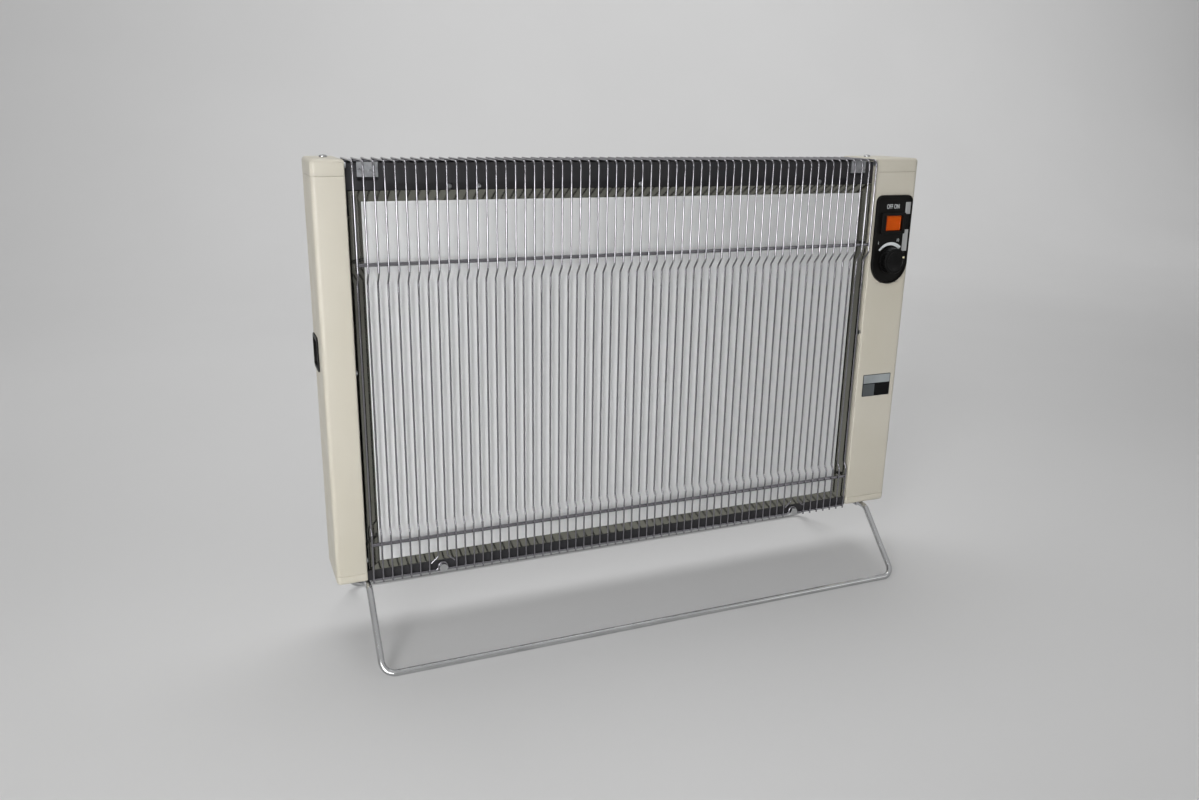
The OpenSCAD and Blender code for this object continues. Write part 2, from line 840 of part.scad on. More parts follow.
module panel_rail_bottom() {
    color([0.19, 0.19, 0.2]) difference() {
        in_body() {
            block(rail_x, [panel_back_y, panel_back_y + casing_t], [casing_t, rail_low_top_z]);
            block(rail_x, [panel_back_y, panel_back_y + rail_foot], [casing_t, 2 * casing_t]);
        }
        clamp_holes();
    }
}

// The heating tube lies in runs on the back of the panel
element_z0 = rail_low_top_z + 13;
element_z1 = rail_top_low_z - 13;
element_pitch = (element_z1 - element_z0) / (element_runs - 1);
element_margin = [30, 34];
element_x = [panel_x[0] + element_margin[0], panel_x[1] - element_margin[1]];
element_y = panel_back_y + element_d / 2;
terminal_l = 12;
terminal_margin = 4;
terminal_x = [panel_x[1] - terminal_margin - terminal_l, panel_x[1] - terminal_margin];
tube_end_x = (terminal_x[0] + terminal_x[1]) / 2;

module heating_element() {
    bend_r = element_pitch / 2;
    color([0.35, 0.33, 0.31]) in_body() translate([0, element_y, 0]) {
        for (i = [0:element_runs - 1]) {
            at_end = i == 0 || i == element_runs - 1;
            translate([0, 0, element_z0 + i * element_pitch])
                bar_x(element_x[0], at_end ? tube_end_x : element_x[1], element_d);
        }
        for (i = [0:element_runs - 2]) {
            at_left = i % 2 == 0;
            translate([at_left ? element_x[0] : element_x[1], 0,
                element_z0 + (i + 0.5) * element_pitch])
                rotate([90, at_left ? 180 : 0, 0]) rotate([0, 0, -90])
                    rotate_extrude(angle = 180) translate([bend_r, 0]) circle(d = element_d);
        }
    }
}

// Upright straps press the heating tube on to the panel
strap_x = [for (k = [0.1, 0.5, 0.9]) element_x[0] + k * (element_x[1] - element_x[0])];

strap_w = 12;

module element_straps() {
    foot_y = panel_back_y + casing_t;
    foot_h = 8;
    low_z = rail_low_top_z - foot_h - 2;
    high_z = rail_top_low_z + foot_h + 2;
    color([0.6, 0.61, 0.63]) in_body()
        for (x = strap_x) {
            strap_span = [x - strap_w / 2, x + strap_w / 2];
            block(strap_span, [element_back_y, element_back_y + strap_t], [low_z, high_z]);
            for (z = [low_z, high_z - foot_h])
                block(strap_span, [foot_y, element_back_y + eps], [z, z + foot_h]);
        }
}

module element_terminals() {
    color([0.9, 0.88, 0.82]) in_body()
        for (z = [element_z0, element_z1])
            difference() {
                block(terminal_x, [panel_back_y, element_back_y + 2],
                    [z - element_d, z + element_d]);
                translate([0, element_y, z])
                    bar_x(terminal_x[0] - 1, tube_end_x, element_d + 2 * seat);
            }
}

cutout_drop = 60;

module thermal_cutout() {
    color([0.15, 0.15, 0.15]) in_body()
        translate([strap_x[2], element_back_y + strap_t, panel_top_z - cutout_drop]) {
            bar_y(0, 5, strap_w + 4);
            for (x = [-4.5, 4.5]) block([x - 1, x + 1], [5 - eps, board_gap - 1], [-3, 3]);
        }
}

module insulation_board() {
    color([0.78, 0.76, 0.7]) in_body() difference() {
        block(rail_x, [board_y, board_back_y], [rail_low_top_z, rail_top_low_z - 4]);
        rear_holes(rear_high_screws, board_y - 1, board_back_y + 1);
        translate([0, lead_y, lead_z]) bar_x(inner_right - 12, inner_right, lead_hole_d + 4);
    }
}

// The guard's side view, as [y, z] points from the free end to the top
bend_half = 3;
upper_bend_half = 5;
upper_bend_z = body_h - guard_upper_bend_drop;
function guard_side(z0) = concat(
    [[-guard_lower_proud, z0],
     [-guard_lower_proud, guard_lower_bend_z - bend_half],
     [guard_middle_set_back, guard_lower_bend_z + bend_half],
     [guard_middle_set_back, upper_bend_z - upper_bend_half],
     [-guard_upper_proud, upper_bend_z + upper_bend_half]],
    [for (a = [180:-30:90])
        [-guard_upper_proud + guard_top_r * (1 + cos(a)), wire_top_z - guard_top_r * (1 - sin(a))]],
    [[casing_front_y - 2, wire_top_z]]);

function beside_notch(i) =
    i == notch_wires || i == notch_wires + 1
    || i == wire_count - 1 - notch_wires || i == wire_count - 2 - notch_wires;

splay_z = guard_pin_d + 4;

// Beside a notch a wire bends aside and ends against its neighbour
function wire_path(i) =
    let (x = inner_left + guard_side_gap + i * wire_pitch,
        lean = i == notch_wires || i == wire_count - 2 - notch_wires ? -1 : 1)
    beside_notch(i)
        ? concat([[x + lean * (wire_pitch - wire_d), -guard_lower_proud, splay_z]],
            [for (p = guard_side(splay_z + 7)) [x, p[0], p[1]]])
        : [for (p = guard_side(-wire_hang)) [x, p[0], p[1]]];

module guard_wires() {
    color([0.8, 0.78, 0.83]) in_body()
        for (i = [0:wire_count - 1]) wire(wire_path(i), wire_d / 2, 6, [1, 0, 0]);
}

// The lowest cross wire humps over the guard pins
low_cross_z = 1;
hump_r = (guard_pin_d + hump_wire_d) / 2 + 0.2;
function hump(x) = concat([[x - hump_r - 2, low_cross_z]],
    [for (a = [195:-30:-15]) [x + hump_r * cos(a), pin_z + hump_r * sin(a)]],
    [[x + hump_r + 2, low_cross_z]]);

// A cross wire's middle lies this far behind the middle of the upright wires
function lap(d) = (wire_d + d) / 2 - seat;

module guard_cross_wires() {
    x0 = inner_left + guard_side_gap;
    x1 = inner_right - guard_side_gap;
    top_wire_gap = 1.7; // from the topmost cross wire to the back of the casing's top
    low_path = concat([[x0, low_cross_z]], hump(notch_x[0]), hump(notch_x[1]), [[x1, low_cross_z]]);
    color([0.8, 0.78, 0.83]) in_body() {
        for (p = [[lap(cross_wire_d) - guard_upper_proud, upper_bend_z + upper_cross_rise],
                [lap(cross_wire_d) - guard_lower_proud, lower_cross_z],
                [top_flange_y - cross_wire_d / 2 - top_wire_gap, wire_top_z - lap(cross_wire_d)]])
            translate([0, p[0], p[1]]) bar_x(x0, x1, cross_wire_d);
        wire([for (p = low_path) [p[0], lap(hump_wire_d) - guard_lower_proud, p[1]]],
            hump_wire_d / 2, 8, [0, 1, 0]);
    }
}

// Outline of the control bezel from the front, drawn smaller by inset
module bezel_outline(inset = 0) {
    r = bezel_w / 2 - inset;
    rt = max(8 - inset, 1);
    top = bezel_top_z - inset;
    translate([ctrl_x, 0]) {
        translate([0, bezel_arc_z]) circle(r = r);
        translate([-r, bezel_arc_z]) square([2 * r, top - rt - bezel_arc_z]);
        translate([-r + rt, bezel_arc_z]) square([2 * r - 2 * rt, top - bezel_arc_z]);
        for (x = [-r + rt, r - rt]) translate([x, top - rt]) circle(r = rt);
    }
}

// Middles of the bezel's screw bosses, as [x, z] about the bezel
boss_places = [[-15, bezel_arc_z - 10], [15, bezel_arc_z - 10],
    [-17, bezel_top_z - 10], [17, bezel_top_z - 10]];

module housing_outline(grow = 0) {
    translate([ctrl_x, button_z])
        square([button_w + 2 * play + 2 * housing_wall + 2 * grow,
            button_h + 2 * play + 2 * housing_wall + 2 * grow], center = true);
}

module control_bezel() {
    color([0.06, 0.055, 0.05]) in_body() difference() {
        union() {
            slab_y(face_y, 0) bezel_outline();
            slab_y(face_y - bezel_rim, face_y + eps) difference() {
                bezel_outline();
                bezel_outline(1.8);
            }
            for (b = boss_places)
                translate([ctrl_x + b[0], 0, b[1]]) bar_y(-eps, sheet, 6);
        }
        slab_y(face_y - 2, 1) housing_outline(seat);
        translate([ctrl_x, 0, knob_z]) bar_y(face_y - 1, 1, bushing_d + 2 * seat);
        for (b = boss_places)
            translate([ctrl_x + b[0], 0, b[1]]) bar_y(-1.4, sheet + 1, small_screw_d + 2 * seat);
    }
}

// The switch's frame overlaps the edge of its hole and reaches further to the
// left. Two bright strips stand in line to the right of it.
switch_lap = [5.2, 3.75];
switch_frame = [button_w, button_h] + 2 * switch_lap;
switch_frame_x = ctrl_x - 1.3;
strip_x = ctrl_x + 16.2;
strip_w = 7.2;
strip_t = 0.5;
strip_inset = 8.3;
strip_parting = [7.9, 10.6];
strip_rise = 10.6;

module bezel_strips() {
    color([0.54, 0.56, 0.56]) in_body() {
        block([strip_x, strip_x + strip_w], [face_y - strip_t, face_y],
            [button_z + strip_parting[1], bezel_top_z - strip_inset]);
        block([strip_x, strip_x + strip_w], [face_y - strip_t, face_y],
            [knob_z + strip_rise, button_z - strip_parting[0]]);
    }
}

// White crescent round the knob, which grows wider to the right
module power_scale() {
    r_out = knob_d / 2 + 5.5;
    color([0.85, 0.86, 0.86]) in_body() slab_y(face_y - strip_t, face_y)
        translate([ctrl_x, knob_z]) intersection() {
            difference() {
                circle(r = r_out);
                translate([-1.4, -0.6]) circle(r = r_out - 2.9);
            }
            polygon([[0, 0], [-r_out * 1.4, r_out * 1.02], [0, r_out * 2], [r_out * 1.1, r_out * 1.18]]);
        }
}

module control_bracket() {
    color([0.6, 0.61, 0.63]) in_body() difference() {
        block([ctrl_x - bracket_w / 2, ctrl_x + bracket_w / 2], [bracket_y, bracket_back_y],
            [pcb_low_z, pcb_low_z + pcb_h]);
        slab_y(bracket_y - 1, bracket_back_y + 1) housing_outline(seat);
        translate([ctrl_x, 0, knob_z]) bar_y(bracket_y - 1, bracket_back_y + 1, bushing_d + 2 * seat);
        for (b = boss_places)
            translate([ctrl_x + b[0], 0, b[1]])
                bar_y(bracket_y - 1, bracket_back_y + 1, small_screw_d + 2 * seat);
    }
}

module bracket_screws() {
    color([0.6, 0.61, 0.63]) in_body()
        for (b = boss_places)
            translate([ctrl_x + b[0], bracket_back_y, b[1]]) screw_y(3.4, small_screw_d);
}

module switch_housing() {
    color([0.05, 0.05, 0.05]) in_body() difference() {
        union() {
            slab_y(frame_front_y, face_y) translate([switch_frame_x, button_z])
                round_rect(switch_frame[0], switch_frame[1], 1.5);
            slab_y(face_y - eps, housing_back_y) housing_outline();
        }
        slab_y(frame_front_y - 1, housing_back_y + 1)
            translate([ctrl_x, button_z])
                square([button_w + 2 * play, button_h + 2 * play], center = true);
    }
}

stem_d = 5;
stem_back_y = button_back_y + 9;
contacts_l = 16;
blade_l = 6;
blade_half = [2.4, 0.4];

module switch_contacts() {
    color([0.2, 0.2, 0.22]) in_body() difference() {
        union() {
            slab_y(housing_back_y, housing_back_y + contacts_l) housing_outline();
            for (x = [-8, 8], z = [-5, 5])
                translate([ctrl_x + x, housing_back_y + contacts_l, button_z + z])
                    block([-blade_half[0], blade_half[0]], [-eps, blade_l],
                        [-blade_half[1], blade_half[1]]);
        }
        translate([ctrl_x, 0, button_z])
            bar_y(housing_back_y - 1, stem_back_y + button_travel + 1, stem_d + 2 * play);
    }
}

module power_button() {
    color([0.85, 0.36, 0.02]) in_body() {
        slab_y(button_front_y, button_back_y)
            translate([ctrl_x, button_z]) round_rect(button_w, button_h, 0.8);
        translate([ctrl_x, 0, button_z]) bar_y(button_back_y - eps, stem_back_y, stem_d);
    }
}

lug_pitch = 5;
lug_w = 2;
lug_t = 0.6;
lug_l = 6;

module regulator_body() {
    lug_y = regulator_back_y - 4;
    color([0.45, 0.45, 0.47]) in_body() translate([ctrl_x, 0, knob_z]) difference() {
        union() {
            bar_y(bracket_back_y, regulator_back_y, 2 * regulator_r);
            bar_y(-1, bracket_back_y + eps, bushing_d);
            for (k = [-1, 0, 1])
                translate([k * lug_pitch, 0, -regulator_r])
                    block([-lug_w / 2, lug_w / 2], [lug_y, lug_y + lug_t], [-lug_l, 2]);
        }
        bar_y(-2, regulator_back_y - 3, spindle_d + 0.12);
    }
}

module regulator_spindle() {
    color([0.75, 0.75, 0.76]) in_body() translate([ctrl_x, 0, knob_z])
        bar_y(knob_front_y + 3, regulator_back_y - 3 - play, spindle_d);
}

dish = 0.8;
pointer_d = 2.9;
pointer_r = knob_d / 2 - 3.4;
skirt_h = 2.5;
rib_w = 1.6;

// The knob, with a dished face and ribs round its side
module power_knob() {
    ribs = 24;
    color([0.03, 0.03, 0.03]) in_body() translate([ctrl_x, 0, knob_z]) difference() {
        union() {
            bar_y(knob_front_y, knob_back_y, knob_d - 1.2);
            bar_y(knob_back_y - skirt_h, knob_back_y, knob_d);
            for (k = [0:ribs - 1])
                rotate([0, k * 360 / ribs, 0])
                    block([knob_d / 2 - 1.6, knob_d / 2 - 0.1], [knob_front_y + 1, knob_back_y - 1],
                        [-rib_w / 2, rib_w / 2]);
        }
        bar_y(knob_front_y - 1, knob_front_y + dish, knob_d - 9);
        bar_y(knob_front_y + 3 - seat, knob_back_y + 1, spindle_d + seat);
        rotate([0, -pointer_angle, 0]) translate([pointer_r, 0, 0])
            bar_y(knob_front_y - 1, knob_front_y + dish, pointer_d + seat);
    }
}

module knob_pointer() {
    color([0.9, 0.87, 0.75]) in_body() translate([ctrl_x, 0, knob_z])
        rotate([0, -pointer_angle, 0]) translate([pointer_r, 0, 0])
            bar_y(knob_front_y - 0.2, knob_front_y + dish, pointer_d);
}

// What stands on the back of the control board: a finned heat sink, a coil
// and a capacitor, placed by their distance from the board's lower corner
sink_at = [6, 60];
sink_h = 35;
sink_base_t = 3;
fin_count = 5;
fin_pitch = 4;
fin_t = 1.5;
fin_l = 16;
coil_at = [14, 24];
coil_d = 22;
coil_core_d = 10;
coil_l = 8;
can_at = [35, 40];
can_d = 13;
can_l = 18;

module control_board() {
    sink_w = (fin_count - 1) * fin_pitch + fin_t;
    color([0.1, 0.35, 0.2]) in_body() translate([ctrl_x - pcb_w / 2, pcb_y, pcb_low_z]) {
        cube([pcb_w, pcb_t, pcb_h]);
        translate([0, pcb_t, 0]) {
            translate([sink_at[0], -eps, sink_at[1]]) {
                cube([sink_w, sink_base_t, sink_h]);
                for (k = [0:fin_count - 1])
                    translate([k * fin_pitch, 0, 0]) cube([fin_t, fin_l, sink_h]);
            }
            translate([coil_at[0], 0, coil_at[1]]) difference() {
                bar_y(-eps, coil_l, coil_d);
                bar_y(1, coil_l + 1, coil_core_d);
            }
            translate([can_at[0], 0, can_at[1]]) bar_y(-eps, can_l, can_d);
        }
    }
}

// Tubes near the corners of the board hold it behind the bracket
board_post_d = 5;
board_post_inset = [3, 4];

module board_posts() {
    x = pcb_w / 2 - board_post_inset[0];
    color([0.8, 0.8, 0.8]) in_body()
        for (side = [LEFT, RIGHT], z = [board_post_inset[1], pcb_h - board_post_inset[1]])
            translate([ctrl_x + side * x, 0, pcb_low_z + z])
                bar_y(bracket_back_y, pcb_y, board_post_d);
}

// The block has three poles with a screw well above and below each
pole_pitch = 9;
pole_inset = 6;
well_d = 5;
well_depth = 3;
well_inset = 10;
function pole_y(k) = block_y + pole_inset + k * pole_pitch;

module terminal_block() {
    x1 = post_face_x + block_t;
    color([0.9, 0.9, 0.88]) in_body() difference() {
        block([post_face_x, x1], [block_y, block_y + block_d], [block_z, block_z + block_h]);
        for (k = [0:2], z = [well_inset, block_h - well_inset])
            translate([0, pole_y(k), block_z + z]) bar_x(x1 - well_depth, x1 + 1, well_d);
    }
}

// Mains leads climb from the block to the board
lead_d = 2;
lead_gap = 1.6; // from a panel lead to the middle of its grommet
block_out_x = post_face_x + block_t;

function mains_lead(k) =
    let (x = block_out_x + 4 + 3 * k, y = pole_y(k), z = block_z + block_h / 2,
        board = pcb_y + pcb_t / 2)
    [[block_out_x, y, z], [x - 2, y, z], [x, y, z + 2], [x, y, z + 6],
        [x, board, z + block_h / 2], [x, board, pcb_low_z]];

// Two leads run from the element's terminals through the grommet to the block
function through_grommet(y) =
    [[inner_right - 5, y, lead_z], [post_face_x + 5, y, lead_z],
        [post_face_x + 7, y, lead_z + 2], [post_face_x + 7, y, block_z]];
low_lead = concat(
    [[terminal_x[1], element_y, element_z0], [terminal_x[1] + 3, element_y, element_z0]],
    through_grommet(lead_y - lead_gap));
high_lead = concat(
    [[terminal_x[1], element_y, element_z1], [terminal_x[1] + 4, element_y, element_z1],
        [terminal_x[1] + 8, element_y + 2, element_z1 - 4],
        [terminal_x[1] + 9, element_y + 6, element_z1 - 14],
        [terminal_x[1] + 9, element_y + 6, lead_z + 14]],
    through_grommet(lead_y + lead_gap));

module wiring_loom() {
    color([0.7, 0.2, 0.15]) in_body() {
        for (k = [0:2]) wire(mains_lead(k), lead_d / 2, 8, [0.2, 1, 0.1]);
        wire(low_lead, lead_d / 2, 8, [0, 1, 0]);
        wire(high_lead, lead_d / 2, 8, [0, 1, 0]);
    }
}

module lead_grommet() {
    color([0.08, 0.08, 0.08]) in_body() translate([0, lead_y, lead_z]) difference() {
        union() {
            bar_x(inner_right - casing_t, post_face_x + eps, lead_hole_d - 2 * seat);
            bar_x(post_face_x, post_face_x + 1.5, lead_hole_d + 4);
        }
        bar_x(inner_right - 4, post_face_x + 4, 2 * (lead_gap + lead_d) - 0.6);
    }
}

// Open-sided case of the safety switch that cuts the power in a fall
module tip_switch_case() {
    x1 = post_face_x + tip_t;
    color([0.2, 0.22, 0.25]) in_body() {
        difference() {
            block([post_face_x, x1], [tip_y, tip_y + tip_d], [tip_z, tip_z + tip_h]);
            block([post_face_x + tip_wall, x1 + 1], [tip_y + tip_wall, tip_y + tip_d - tip_wall],
                [tip_z + tip_wall, tip_z + tip_h - tip_wall]);
            translate([0, pivot_y, pivot_z])
                bar_x(post_face_x + 0.5, post_face_x + tip_wall + 1, pin_d + 0.02);
        }
        block([post_face_x + 4, x1 - 2], [pivot_y - 8, pivot_y + 8],
            [tip_z + tip_wall - eps, pivot_z - pendulum_l - bob_r - bob_gap]);
    }
}

module tip_switch_pin() {
    color([0.75, 0.75, 0.76]) in_body() translate([0, pivot_y, pivot_z]) {
        bar_x(post_face_x + 0.5, post_face_x + 14, pin_d);
        bar_x(post_face_x + 14 - eps, post_face_x + 15, pin_d + 2);
    }
}

module tip_pendulum() {
    arm_x = post_face_x + 9;
    color([0.72, 0.55, 0.25]) in_body() translate([0, pivot_y, pivot_z]) difference() {
        union() {
            bar_x(arm_x, arm_x + 4, pin_d + 4);
            block([arm_x, arm_x + 4], [-2, 2], [-pendulum_l, 0]);
            translate([0, 0, -pendulum_l]) bar_x(arm_x - 3, arm_x + 7, 2 * bob_r);
        }
        bar_x(arm_x - 1, arm_x + 5, pin_d + 0.14);
    }
}

// Rubber bush where the supply cord enters the back of the right column
gland_d = 12;
gland_x = body_w - right_column_w / 2;
gland_z = 40;

module cord_gland() {
    color([0.05, 0.05, 0.05]) in_body() translate([gland_x, 0, gland_z]) difference() {
        union() {
            bar_y(body_d - sheet - 3, body_d + eps, gland_d);
            bar_y(body_d, body_d + 3, gland_d + 5);
            bar_y(body_d - sheet - 4, body_d - sheet, gland_d + 3);
        }
        bar_y(body_d - 10, body_d + 5, 7);
    }
}

// Plain two-tone plate, about the middle of the column
badge_size = [41, 28];
badge_z = 160;

module badge_plate() {
    t = 0.8;
    color([0.2, 0.2, 0.21]) in_body() translate([body_w - right_column_w / 2 - 0.5, 0, badge_z])
        slab_y(-t, 0) round_rect(badge_size[0], badge_size[1], 0.6);
}

// Path of the right half of a stand loop, from its end under the body,
// down the leg and round the corner, to where its floor bar runs straight
knee_y = -body_d / 2;
leg_l = (rod_z - knee_r * (1 - cos(leg_angle)) - rod_d / 2) / sin(leg_angle);
leg_dir = [0, -cos(leg_angle), -sin(leg_angle)];
leg_top = [leg_x, knee_y - knee_r * sin(leg_angle), rod_z - knee_r * (1 - cos(leg_angle))];
corner_at = leg_top + (leg_l - bar_corner_r) * leg_dir - [bar_corner_r, 0, 0];
half_loop = concat(
    [[leg_x, -2, rod_z]],
    [for (k = [0:5]) let (a = k * leg_angle / 5)
        [leg_x, knee_y - knee_r * sin(a), rod_z - knee_r * (1 - cos(a))]],
    [for (k = [0:8]) let (a = k * 90 / 8)
        corner_at + bar_corner_r * (cos(a) * [1, 0, 0] + sin(a) * leg_dir)]);
last_point = len(half_loop) - 1;
stand_sides = 16;

module stand_loop() {
    back_half = [for (k = [last_point:-1:0]) [-half_loop[k][0], half_loop[k][1], half_loop[k][2]]];
    wire(concat(half_loop, back_half), rod_d / 2, stand_sides, [0, 0, 1]);
}

module front_stand() {
    color([0.78, 0.79, 0.8]) stand_loop();
}

module rear_stand() {
    color([0.78, 0.79, 0.8]) mirror([0, 1, 0]) stand_loop();
}

// Screw places of the stand's saddle clamps, under the body
module at_clamps() {
    for (x = [-leg_x, leg_x], y = [-clamp_y, clamp_y])
        translate([x, y, floor_gap]) children();
}

// The clamp screws go through a cap, or through the tray and the rail on it
module clamp_holes() {
    at_clamps()
        for (x = [-clamp_screw_x, clamp_screw_x])
            translate([x, 0, 0])
                bar_z(-1, max(cap_skin, 2 * casing_t) + 1, small_screw_d + 2 * seat);
}

module stand_clamps() {
    flange = clamp_screw_x + 5;
    color([0.7, 0.71, 0.73]) at_clamps() difference() {
        union() {
            translate([0, 0, -rod_d / 2]) bar_y(-clamp_w / 2, clamp_w / 2, 2 * (clamp_r + clamp_t));
            block([-clamp_r - clamp_t, clamp_r + clamp_t], [-clamp_w / 2, clamp_w / 2], [-rod_d / 2, 0]);
            block([-flange, flange], [-clamp_w / 2, clamp_w / 2], [-clamp_t, 0]);
        }
        translate([0, 0, -rod_d / 2]) bar_y(-clamp_w, clamp_w, 2 * clamp_r);
        block([-clamp_r, clamp_r], [-clamp_w, clamp_w], [-rod_d / 2, 1]);
        block([-flange, flange], [-clamp_w, clamp_w], [0, rod_d]);
        for (x = [-clamp_screw_x, clamp_screw_x])
            translate([x, 0, 0]) bar_z(-clamp_t - 1, 1, small_screw_d + 2 * seat);
    }
}

module clamp_screws() {
    color([0.75, 0.75, 0.77]) at_clamps()
        for (x = [-clamp_screw_x, clamp_screw_x])
            translate([x, 0, -clamp_t]) {
                bar_z(-2, 0, small_screw_d * 2);
                bar_z(-eps, clamp_t + cap_skin + 3, small_screw_d);
            }
}

left_column_cover();
right_column_cover();
right_back_cover();
left_top_cap();
right_top_cap();
left_bottom_cap();
right_bottom_cap();
left_post();
right_post();
cap_screws();
side_screws();
left_handle_cup();
right_handle_cup();
rear_casing();
rear_screws();
board_spacers();
front_plate();
guard_clips();
bottom_tray();
guard_pins();
reflector_left();
reflector_right();
reflector_top();
reflector_bottom();
ceramic_panel();
panel_rail_top();
panel_rail_bottom();
heating_element();
element_straps();
element_terminals();
thermal_cutout();
insulation_board();
guard_wires();
guard_cross_wires();
control_bezel();
bezel_strips();
power_scale();
control_bracket();
bracket_screws();
switch_housing();
switch_contacts();
power_button();
regulator_body();
regulator_spindle();
power_knob();
knob_pointer();
control_board();
board_posts();
terminal_block();
wiring_loom();
lead_grommet();
tip_switch_case();
tip_switch_pin();
tip_pendulum();
cord_gland();
badge_plate();
front_stand();
rear_stand();
stand_clamps();
clamp_screws();
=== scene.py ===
# %% [markdown]
# # A ceramic panel heater
#
# The heater stands on two loops of chromed rod. Two cream steel columns hold a white panel behind
# a guard of bent wires, and the wide column on the right carries the switch and the power knob.
# The solids come from a CAD model, and this file dresses them: it gives each visible piece soft
# edges and a finish of its own. The CAD model is loaded first, because it says where things are.

# %% Load the frame
import json
from math import atan2, cos, pi, radians, sin, tan

import bmesh
import bpy
from mathutils import Matrix, Vector

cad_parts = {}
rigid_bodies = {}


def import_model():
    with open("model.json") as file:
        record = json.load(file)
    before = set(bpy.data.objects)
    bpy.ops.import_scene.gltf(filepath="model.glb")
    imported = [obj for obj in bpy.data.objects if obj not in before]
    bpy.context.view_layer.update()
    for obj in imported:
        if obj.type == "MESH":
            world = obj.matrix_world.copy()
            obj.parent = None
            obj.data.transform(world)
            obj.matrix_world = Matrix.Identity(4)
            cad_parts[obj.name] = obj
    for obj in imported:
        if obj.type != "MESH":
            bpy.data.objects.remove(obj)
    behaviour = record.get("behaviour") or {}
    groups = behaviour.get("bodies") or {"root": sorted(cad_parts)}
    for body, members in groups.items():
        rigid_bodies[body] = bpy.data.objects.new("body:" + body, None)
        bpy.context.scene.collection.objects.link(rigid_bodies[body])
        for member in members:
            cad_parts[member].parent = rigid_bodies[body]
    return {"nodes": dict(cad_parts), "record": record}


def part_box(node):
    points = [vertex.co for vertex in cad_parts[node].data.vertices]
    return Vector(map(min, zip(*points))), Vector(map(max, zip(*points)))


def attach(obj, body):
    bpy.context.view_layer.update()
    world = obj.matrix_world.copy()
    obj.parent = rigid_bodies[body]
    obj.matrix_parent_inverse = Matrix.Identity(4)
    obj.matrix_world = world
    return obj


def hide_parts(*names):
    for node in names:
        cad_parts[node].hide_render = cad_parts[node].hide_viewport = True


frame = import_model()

MM = 0.001
scene = bpy.context.scene
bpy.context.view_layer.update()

# %% [markdown]
# ## Places
#
# Sizes on the body are easiest to think of in millimetres from one corner of it: the outer face of
# the left column, the front of the columns and the underside. `at` turns such a place into metres
# in the frame. The corner itself is read from the CAD boxes, so nothing is fitted by eye.

# %% The body's own corner
CORNER = Vector((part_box("left_column_cover")[0].x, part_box("left_column_cover")[0].y,
                 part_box("left_bottom_cap")[0].z))
BODY_TOP = (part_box("left_top_cap")[1].z - CORNER.z) / MM
RIGHT_IN = (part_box("right_column_cover")[0].x - CORNER.x) / MM
BODY_RIGHT = (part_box("right_column_cover")[1].x - CORNER.x) / MM
LEFT_IN = (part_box("left_column_cover")[1].x - CORNER.x) / MM


def at(x, y, z):
    """A place in millimetres from the body's corner, in metres in the frame."""
    return CORNER + Vector((x, y, z)) * MM


print("body:", BODY_RIGHT, "wide,", BODY_TOP, "high, opening", LEFT_IN, "to", RIGHT_IN)

# %% [markdown]
# ## Finishes
#
# Every finish is a Principled BSDF with a few procedural nodes in front of it. No real surface is
# one flat colour, so each gets a slow mottle, some change in gloss and a fine bump. All patterns
# read Object coordinates. The objects sit at the origin, so those are metres, and a noise scale of
# 1000 gives grains of about a millimetre.


# %% Node helpers
def new_finish(name, color, roughness, metallic=0.0, **extra):
    """A material with a Principled BSDF, and its sockets set by name."""
    mat = bpy.data.materials.new(name)
    mat.use_nodes = True
    shader = mat.node_tree.nodes["Principled BSDF"]
    shader.inputs["Base Color"].default_value = (*color, 1)
    shader.inputs["Roughness"].default_value = roughness
    shader.inputs["Metallic"].default_value = metallic
    for socket, value in extra.items():
        shader.inputs[socket.replace("_", " ")].default_value = value
    return mat


def noise(mat, scale, detail=2.0, stretch=(1, 1, 1)):
    """Noise in object space. A stretch under 1 draws it out along that axis."""
    nodes, links = mat.node_tree.nodes, mat.node_tree.links
    place = nodes.new("ShaderNodeTexCoord")
    turn = nodes.new("ShaderNodeMapping")
    turn.inputs["Scale"].default_value = stretch
    pattern = nodes.new("ShaderNodeTexNoise")
    pattern.inputs["Scale"].default_value = scale
    pattern.inputs["Detail"].default_value = detail
    links.new(place.outputs["Object"], turn.inputs["Vector"])
    links.new(turn.outputs["Vector"], pattern.inputs["Vector"])
    return pattern.outputs["Fac"]


def spread(mat, source, low, high, start=0.35, end=0.65):
    """Stretches the middle of a pattern to run from low to high."""
    node = mat.node_tree.nodes.new("ShaderNodeMapRange")
    node.inputs["From Min"].default_value = start
    node.inputs["From Max"].default_value = end
    node.inputs["To Min"].default_value = low
    node.inputs["To Max"].default_value = high
    mat.node_tree.links.new(source, node.inputs["Value"])
    return node.outputs["Result"]


def mottle(mat, source, color_a, color_b, start=0.35, end=0.65):
    """Base colour that drifts between two colours as the pattern does."""
    mix = mat.node_tree.nodes.new("ShaderNodeMix")
    mix.data_type = "RGBA"
    mix.inputs["A"].default_value = (*color_a, 1)
    mix.inputs["B"].default_value = (*color_b, 1)
    mat.node_tree.links.new(spread(mat, source, 0, 1, start, end), mix.inputs["Factor"])
    shader = mat.node_tree.nodes["Principled BSDF"]
    mat.node_tree.links.new(mix.outputs["Result"], shader.inputs["Base Color"])


def uneven_gloss(mat, source, low, high):
    """Roughness that drifts between two values."""
    shader = mat.node_tree.nodes["Principled BSDF"]
    mat.node_tree.links.new(spread(mat, source, low, high), shader.inputs["Roughness"])


